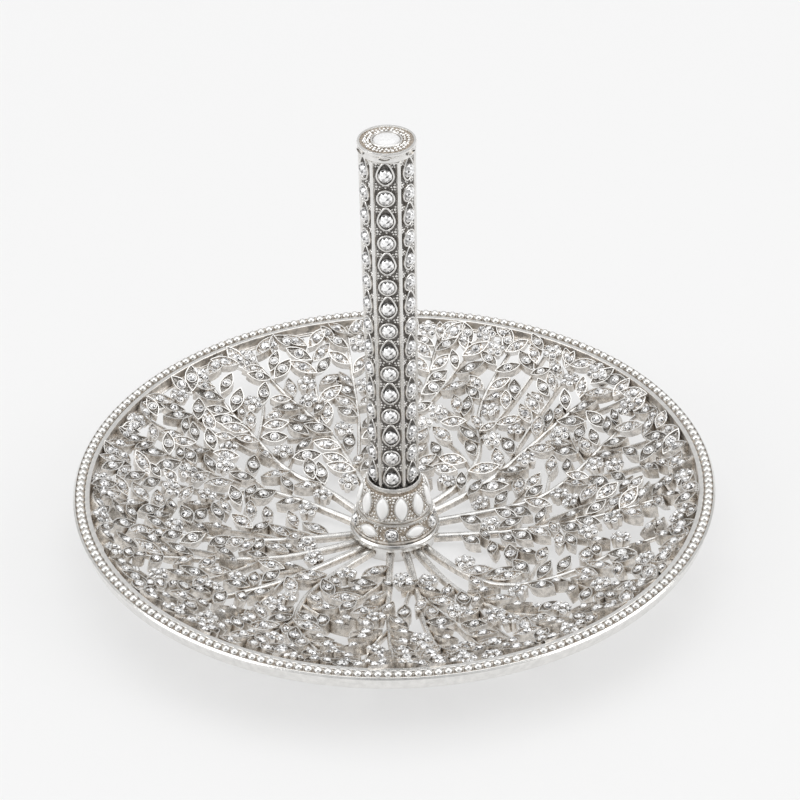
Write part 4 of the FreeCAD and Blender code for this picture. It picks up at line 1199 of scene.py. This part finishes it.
class MakeFinishes(bpy.types.Operator):
    """Makes the metals, stones and enamel"""
    bl_idname = "ring_holder.make_finishes"
    bl_label = "Make finishes"

    def execute(self, context):
        finish = context.scene.ring_holder_finish
        glow = context.scene.ring_holder_stage.floor_glow / max(finish.floor)
        FINISHES.update(
            bright=bright_silver(finish),
            cast=cast_silver(finish),
            tarnished=tarnished_silver(finish),
            polished=polished_silver(finish),
            # Antique darkening on the post's panels, painted shade on the floors of the stone hoops
            antique=grain_field(finish, "antique_panel", finish.antique, .02),
            leaf_floor=grain_field(finish, "leaf_floor", finish.leaf_floor, .1),
            pave=close_set_crystal(finish),
            granulated=grain_field(finish, "granulated_ground", finish.tarnish, .06),
            crystal=foiled_crystal(finish),
            # Painted light: the enamel glows a little, to stay bright where the lamps leave it dim
            enamel=milky_white("white_enamel", finish.enamel, .09),
            # The cabochon's greyed white is painted shade
            cabochon=milky_white("milky_cabochon", finish.cabochon, 0),
            steel=plain_steel(finish),
            floor=pale_floor(finish, glow))
        paint(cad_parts["centre_plate"], "bright")
        paint(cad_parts["fixing_screw"], "steel")
        return {"FINISHED"}


class MakeRim(bpy.types.Operator):
    """Turns the rim with its lips, bead channel and ledge, and sets its beads"""
    bl_idname = "ring_holder.make_rim"
    bl_label = "Make rim"

    def execute(self, context):
        dish = context.scene.ring_holder_dish
        outer, top, foot = RIM[1].x, RIM[1].z, RIM[0].z
        groove = top - dish.channel_depth
        channel_out = outer - dish.lip_width
        channel_in = channel_out - dish.channel_width
        wall = channel_in - dish.inner_lip_width
        ledge = wall - dish.ledge_width
        ledge_foot = foot + dish.ledge_rise
        shelf = ledge_foot + dish.ledge_thickness
        rim = turned("rim", [
            (outer - dish.rim_draft, foot), (outer, top - dish.lip_slope), (channel_out, top),
            (channel_out, groove), (channel_in, groove), (channel_in, top), (wall, top), (wall, shelf),
            (ledge, shelf), (ledge, ledge_foot), (wall, ledge_foot)], 192)
        paint(rim, "bright", "tarnished")
        # Painted shade: the rim's inner wall, under the beads, takes the warm wall-shade finish
        halfway = (top + shelf) / 2
        paint_faces(rim, band(halfway - 1e-5, halfway + 1e-5, beyond=wall))
        bevelled(rim, dish.lip_width * .3)
        smooth(rim, 50)
        install(rim, "silver", "rim_band")
        bpy.ops.mesh.primitive_ico_sphere_add(subdivisions=2, radius=dish.bead_size / 2, location=(0, 0, 0))
        bead = named("bead")
        bpy.ops.object.shade_smooth()
        paint(bead, "bright")
        row = (channel_out + channel_in) / 2
        count = int(math.tau * row / (dish.bead_size + dish.bead_gap))
        beads = set_out(bead, level_ring(count, row, BEADS[1].z - dish.bead_size / 2), "beads")
        install(beads, "silver", "bead_border")
        return {"FINISHED"}


class MakeSprays(bpy.types.Operator):
    """Sweeps the stems and forks and sets leaves, blossoms and their stones on them"""
    bl_idname = "ring_holder.make_sprays"
    bl_label = "Make sprays"

    def execute(self, context):
        dish = context.scene.ring_holder_dish
        stones = context.scene.ring_holder_stones
        bowl = Bowl(dish)
        plan = Plan(bowl)
        chance = random.Random(11)
        protos = {"leaf": leaf_proto(dish, stones, False), "pave": leaf_proto(dish, stones, True),
                  "blossom": blossom_proto(dish, stones)}
        in_leaf = shifted(z=-dish.leaf_depth * .5)
        in_petals = [place @ shifted(z=-dish.leaf_depth * .35) for place in petal_places(dish)]
        leaf_seats, petal_seats = [], []
        for number, spray in enumerate(plan.sprays, start=1):
            self.make_stems(bowl, spray, number)
            seats = {kind: [] for kind in protos}
            for scale, lift, leaves in ((1, 0, spray.leaves), (SMALL_SHARE, 0, spray.small_leaves),
                                        (SMALL_SHARE, dish.leaf_depth, spray.over_leaves)):
                for leaf in leaves:
                    kind = "leaf" if chance.random() < PLAIN_LEAF_SHARE else "pave"
                    size = scale * chance.uniform(*LEAF_SIZES)
                    seat = self.seat(bowl, leaf, chance, lift) @ Matrix.Diagonal((size, size, 1, 1))
                    seats[kind].append(seat)
                    leaf_seats.append(seat @ in_leaf)
            for blossom in spray.blossoms:
                seat = self.seat(bowl, blossom, chance, 0)
                seats["blossom"].append(seat)
                petal_seats += [seat @ place for place in in_petals]
            foliage = joined([copied(protos[kind], places, kind) for kind, places in seats.items() if places],
                             "foliage_%02d" % number)
            install(foliage, "antique_silver", "spray_%02d_foliage" % number)
        discard(*protos.values())
        crystals = joined([set_out(stone_proto(stones.leaf_stone, 8), leaf_seats, "leaf_stones"),
                           set_out(stone_proto(stones.blossom_stone, 6), petal_seats, "blossom_stones")],
                          "foliage_stones")
        install(crystals, "crystal", "leaf_crystals")
        return {"FINISHED"}

    def seat(self, bowl, item, chance, lift):
        sink, tilt, nod = [chance.uniform(*reach) for reach in (LEAF_SINKS, LEAF_TILTS, LEAF_NODS)]
        return bowl.seat_at(*item, lift - sink, tilt, nod)

    def make_stems(self, bowl, spray, number):
        main = swept_bar(bowl, spray.runs[0], bowl.dish.stem_root_width, "stem")
        forks = [swept_bar(bowl, run, bowl.dish.fork_width, "fork") for run in spray.runs[1:]]
        stems = joined([main] + forks, "stems_%02d" % number)
        smooth(stems, 50)
        paint(stems, "cast")
        install(stems, "silver", "spray_%02d_stem" % number)


class MakeHub(bpy.types.Operator):
    """Turns both tiers of the hub and sets their stones, enamels and grains"""
    bl_idname = "ring_holder.make_hub"
    bl_label = "Make hub"

    def execute(self, context):
        stones = context.scene.ring_holder_stones
        self.make_lower(stones)
        self.make_upper(stones)
        return {"FINISHED"}

    def make_lower(self, stones):
        foot, top, ring = HUB_LOWER[0].z, HUB_LOWER[1].z, HUB_LOWER[1].x
        below = profile(ring, foot, LOWER_FOOT_MM)
        above = profile(ring, top, LOWER_TOP_MM)
        lower = turned("hub_lower_piece", [(BORE, foot)] + below + above + [(BORE, top)], 96)
        (low, band_foot), (high, band_top) = below[-1], above[0]
        middle = (band_foot + band_top) / 2
        paint(lower, "bright", "granulated", "tarnished")
        paint_faces(lower, band(middle - .1 * MM, middle + .1 * MM, within=ring / 2))
        # The groove and thin ring over the foot take the same warm wall-shade finish
        paint_faces(lower, band(foot + 1.6 * MM, band_foot, within=ring / 2), 2)
        lean = math.atan2(low - high, band_top - band_foot)
        base = (low + high) / 2 - .05 * MM
        seats = [side_place(FRONT_PANEL + 180 * k / LOWER_SETTINGS, base, middle, lean)
                 for k in range(2 * LOWER_SETTINGS)]
        stone_seats = seats[::2]
        enamel_seats = [seat @ QUARTER for seat in seats[1::2]]
        wall = stones.bezel_wall / 2
        disc = round_disc(20, stones.hub_stone + 2 * (wall + stones.bezel_gap))
        # Their floors take the dark antique finish, painted shade round the stones
        hoops = set_out(hoop_proto(disc, wall, .5 * MM), stone_seats, "hoops")
        almond = (stones.band_enamel_width, stones.band_enamel_length)
        ovals = set_out(almond_hoop(*almond, wall, .4 * MM), enamel_seats, "ovals")
        spots = []
        for k in range(2 * LOWER_SETTINGS):
            for turn, rise in LOWER_GRAINS:
                bearing = FRONT_PANEL + 180 * (k + .5) / LOWER_SETTINGS + turn
                spots += [side_place(bearing, base - step * .2 * MM, middle + step * rise * MM)
                          for step in (-1, 1)]
        grains = set_out(grain_proto(stones.grain, "polished"), scattered(spots, 5), "grains")
        install(joined([lower, hoops, ovals, grains], "hub_lower_piece"), "silver", "hub_lower")
        enamels = set_out(almond_proto(*almond, .7 * MM), enamel_seats, "lying_enamels")
        install(enamels, "enamel", "lower_enamels")
        raised = [seat @ shifted(z=.15 * MM) for seat in stone_seats]
        install(set_out(stone_proto(stones.hub_stone, 10), raised, "hub_stones"), "crystal", "hub_crystals")

    def make_upper(self, stones):
        foot, wide = HUB_UPPER[0].z, HUB_UPPER[1].x
        top = HUB_UPPER[1].z + CUP_LIFT
        tier, floor = foot + 5.5 * MM, top - 1.9 * MM
        shoulder, cup, socket = 5.9 * MM, 5.3 * MM, 5 * MM
        below = profile(wide, foot, UPPER_FOOT_MM)
        above = profile(cup, top, CUP_MM)
        upper = turned("hub_upper_piece", [(BORE, foot)] + below + [(shoulder, tier), (cup, tier + .2 * MM)]
                       + above + profile(socket, top, SOCKET_MM) + [(BORE, floor)], 96)
        low, band_foot = below[-1]
        paint(upper, "bright", "granulated")
        paint_faces(upper, band(band_foot, above[0][1], within=socket + .1 * MM))
        middle = (band_foot + tier) / 2
        base = (low + shoulder) / 2
        lean = math.atan2(low - shoulder, tier - band_foot)
        seats = [side_place(FRONT_PANEL + 360 * (k + .5) / UPPER_ENAMELS, base - .1 * MM, middle, lean)
                 for k in range(UPPER_ENAMELS)]
        almond = (stones.enamel_width, stones.enamel_length)
        ovals = set_out(almond_hoop(*almond, stones.bezel_wall / 2, .5 * MM), seats, "ovals")
        spots = []
        for k in range(UPPER_ENAMELS):
            bearing = FRONT_PANEL + 360 * k / UPPER_ENAMELS
            spots += [side_place(bearing + turn, base - math.tan(lean) * rise * MM, middle + rise * MM)
                      for turn, rise in UPPER_GRAINS]
        grains = set_out(grain_proto(stones.grain, "polished"), scattered(spots, 6), "grains")
        install(joined([upper, ovals, grains], "hub_upper_piece"), "silver", "hub_upper")
        install(set_out(almond_proto(*almond, MM), seats, "upright_enamels"), "enamel", "upper_enamels")


class MakePost(bpy.types.Operator):
    """Models the six-sided post with its ribs and sunk panels, and sets its bezels and stones"""
    bl_idname = "ring_holder.make_post"
    bl_label = "Make post"

    def execute(self, context):
        stones = context.scene.ring_holder_stones
        low, high = POST[0].z, POST[1].z
        root, tip = 5 * MM, 5.6 * MM
        rib, slope, depth, edge_round = .48 * MM, .1 * MM, .4 * MM, .22 * MM
        bpy.ops.mesh.primitive_cone_add(
            vertices=PANELS, radius1=root, radius2=tip, depth=high - low, location=(0, 0, (low + high) / 2),
            rotation=(0, 0, math.radians(FRONT_PANEL + 30 - 90)))
        post = settled("post")
        with editing(post):
            pick(post, "FACE", upright)
            bpy.ops.mesh.inset(thickness=rib, use_individual=True)
            bpy.ops.mesh.inset(thickness=slope, depth=-depth, use_individual=True)
        paint(post, "bright", "antique")
        flat_share = math.cos(math.pi / PANELS)
        sunk = (root + tip) / 2 * flat_share - depth * .75
        paint_faces(post, lambda f: upright(f) and math.hypot(*f.calc_center_median().xy) < sunk)
        bevelled(post, edge_round, 3, 50)
        smooth(post, 40)
        seats = self.stone_seats(stones, (low, high), (root * flat_share - depth, tip * flat_share - depth))
        rounds = [seat for seat, turn in seats if turn % 2]
        points = [seat for seat, turn in seats if not turn % 2]
        size = stones.post_stone + 2 * (stones.bezel_wall + stones.bezel_gap)
        # Both bezels' floors take the dark antique finish, painted shade round the stones
        pointed = hoop_proto(drop_disc(20, size, stones.bezel_point), stones.bezel_wall, .6 * MM)
        hoop = hoop_proto(round_disc(20, size), stones.bezel_wall, .6 * MM)
        bezels = joined([set_out(pointed, points, "pointed"), set_out(hoop, rounds, "round")], "bezels")
        install(bezels, "silver", "post_bezels")
        raised = [seat @ shifted(z=.2 * MM) for seat, _ in seats]
        gems = set_out(stone_proto(stones.post_stone, 10), raised, "post_stones")
        install(gems, "crystal", "post_crystals")
        post = joined([post, self.grains(stones, [seat for seat, _ in seats], rounds)], "post")
        install(post, "antique_silver", "post_core")
        return {"FINISHED"}

    def grains(self, stones, seats, rounds):
        """Grains between the bezels: a larger one beside each rib, small ones between them."""
        def between(some, places):
            up = stones.stone_pitch / 2
            return [seat @ shifted(x * MM, up + y * MM) for seat in some for x, y in places]

        large = set_out(grain_proto(stones.grain * 1.1, "polished"), between(seats, LARGE_GRAINS_MM), "large")
        places = between(seats, SMALL_GRAINS_MM) + between(rounds, ROUND_GRAINS_MM)
        small = set_out(grain_proto(stones.grain * .75, "polished"), places, "small")
        return joined([large, small], "grains")

    def stone_seats(self, stones, heights, radii):
        """Seats of the stones, with their turn in the column."""
        (low, high), (root, tip) = heights, radii
        first = 1.9 * MM + stones.stone_margin
        span = high - low - first - stones.stone_margin
        steps = round(span / stones.stone_pitch)
        lean = -math.atan2(tip - root, high - low)
        seats = []
        for panel in range(PANELS):
            for k in range(steps + 1):
                rise = first + span * k / steps
                radius = root + (tip - root) * rise / (high - low)
                seats.append((side_place(FRONT_PANEL + 60 * panel, radius, low + rise, lean), k))
        return seats


class MakeCap(bpy.types.Operator):
    """Turns the cap and sets its cabochon and rings of grains"""
    bl_idname = "ring_holder.make_cap"
    bl_label = "Make cap"

    def execute(self, context):
        foot, top, wide = CAP[0].z, CAP[1].z, CAP[1].x
        edge = profile(wide, top, CAP_TOP_MM)
        face = edge[-1][1]
        middle = .1 * MM
        cap = turned("cap", [(middle, foot)] + profile(wide, foot, CAP_FOOT_MM) + edge + [(middle, face)], 96)
        paint(cap, "bright", "granulated")
        paint_faces(cap, face_up(face))
        lens = hoop_proto(almond_disc(1.2 * MM, 2.8 * MM, .6), .2 * MM, .3 * MM)
        seats = [side_place(FRONT_PANEL + 60 * k, wide - .2 * MM, foot + 1.05 * MM) @ QUARTER
                 for k in range(PANELS)]
        install(joined([cap, set_out(lens, seats, "lenses")], "cap"), "silver", "post_cap")
        inner = context.scene.ring_holder_stones.cabochon
        hoop = turned("cabochon_hoop", profile(inner, face, CABOCHON_HOOP_MM), 64)
        paint(hoop, "bright")
        install(hoop, "silver", "cabochon_bezel")
        self.make_cabochon(inner, face)
        rings = []
        for row, count in ((4.25 * MM, 34), (inner + .85 * MM, 28)):
            rings += level_ring(count, row, face + .15 * MM)
        grains = set_out(grain_proto(.75 * MM, "polished"), scattered(rings, 7), "cap_beads")
        install(grains, "silver", "cap_grains")
        return {"FINISHED"}

    def make_cabochon(self, radius, face):
        bpy.ops.mesh.primitive_uv_sphere_add(segments=48, ring_count=24, radius=radius, location=(0, 0, face))
        dome = settled("cabochon")
        with editing(dome):
            everything()
            resize(z=MM / radius, centre=(0, 0, face))
            bpy.ops.mesh.bisect(plane_co=(0, 0, face), plane_no=(0, 0, 1), use_fill=True, clear_inner=True)
        only(dome)
        bpy.ops.object.shade_smooth()
        paint(dome, "cabochon")
        install(dome, "enamel", "cap_cabochon")


class MakeStage(bpy.types.Operator):
    """Sets the floor, the soft lights and the camera"""
    bl_idname = "ring_holder.make_stage"
    bl_label = "Make stage"

    def execute(self, context):
        stage = context.scene.ring_holder_stage
        bpy.ops.mesh.primitive_plane_add(size=stage.floor_size, location=(0, 0, 0))
        floor = named("floor")
        paint(floor, "floor")
        self.add_light("overhead", (0, .15, 1.5), 1.6, stage.key_power)
        self.add_light("left", (-1.3, -.4, .8), 1, stage.side_power)
        self.add_light("right", (1.3, -.2, .9), 1, stage.side_power)
        back = Vector((0, -math.cos(stage.elevation), math.sin(stage.elevation)))
        context.scene.world = self.sky(stage.sky, back)
        context.scene.camera = self.camera(stage, back)
        context.scene.view_settings.view_transform = "Standard"
        return {"FINISHED"}

    def add_light(self, name, place, size, power):
        bpy.ops.object.light_add(type="AREA", location=place)
        light = bpy.context.object
        light.name = name
        adjust(light.data, size=size, energy=power)
        aim = Vector((0, 0, .02)) - Vector(place)
        light.rotation_euler = aim.to_track_quat("-Z", "Y").to_euler()

    def sky(self, strength, back):
        """Light all round, brightest at the horizon, with a small dark patch behind the camera."""
        world = bpy.data.worlds.new("studio")
        world.use_nodes = True
        sky = Nodes(world.node_tree, "Generated")
        split = sky.add("SeparateXYZ", Vector=sky.space)
        shade = sky.ramp(split.outputs["Z"], (0, .75), (.5, 1), (1, .9))
        dark = sky.ramp(sky.along(sky.space, back), (.93, 1), (.985, .2))
        sky.feed(world.node_tree.nodes["Background"], Strength=strength, Color=sky.times(shade, dark))
        return world

    def camera(self, stage, back):
        """A camera aimed at the dish, so that its middle is seen where the photo has it."""
        sensor, image = 36, 800
        middle = Vector((0, 0, BEADS[1].z - .5 * MM))
        bpy.ops.object.camera_add(location=middle + back * stage.distance)
        camera = bpy.context.object
        adjust(camera.data, lens=stage.lens, sensor_width=sensor, clip_end=20)
        focal = stage.lens / sensor * image
        seen = Vector((stage.middle_x - image / 2, image / 2 - stage.middle_y, -focal)).normalized()
        aimed = (-back).to_track_quat("-Z", "Y")
        rolled = Matrix.Rotation(stage.roll, 3, "Z").to_quaternion()
        camera.rotation_mode = "QUATERNION"
        camera.rotation_quaternion = aimed @ rolled @ seen.rotation_difference(Vector((0, 0, -1)))
        return camera


class RingHolderPanel(bpy.types.Panel):
    """Lists the steps that dress the ring holder"""
    bl_idname = "VIEW3D_PT_ring_holder"
    bl_label = "Ring holder"
    bl_space_type = "VIEW_3D"
    bl_region_type = "UI"
    bl_category = "Ring holder"

    def draw(self, context):
        for operator in STEPS:
            self.layout.operator(operator.bl_idname)
        for group in GROUPS:
            settings = getattr(context.scene, group)
            for name in settings.bl_rna.properties.keys():
                if name not in ("rna_type", "name"):
                    self.layout.prop(settings, name)


STEPS = (MakeFinishes, MakeRim, MakeSprays, MakeHub, MakePost, MakeCap, MakeStage)
GROUPS = {
    "ring_holder_dish": RingHolderDish,
    "ring_holder_stones": RingHolderStones,
    "ring_holder_finish": RingHolderFinish,
    "ring_holder_stage": RingHolderStage,
}


def register():
    for item in (*GROUPS.values(), *STEPS, RingHolderPanel):
        bpy.utils.register_class(item)
    for name, group in GROUPS.items():
        setattr(bpy.types.Scene, name, PointerProperty(type=group))


def unregister():
    for name in GROUPS:
        delattr(bpy.types.Scene, name)
    for item in reversed((*GROUPS.values(), *STEPS, RingHolderPanel)):
        bpy.utils.unregister_class(item)


def main():
    register()
    for step in STEPS:
        group, name = step.bl_idname.split(".")
        getattr(getattr(bpy.ops, group), name)()
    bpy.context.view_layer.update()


if __name__ == "__main__":
    main()
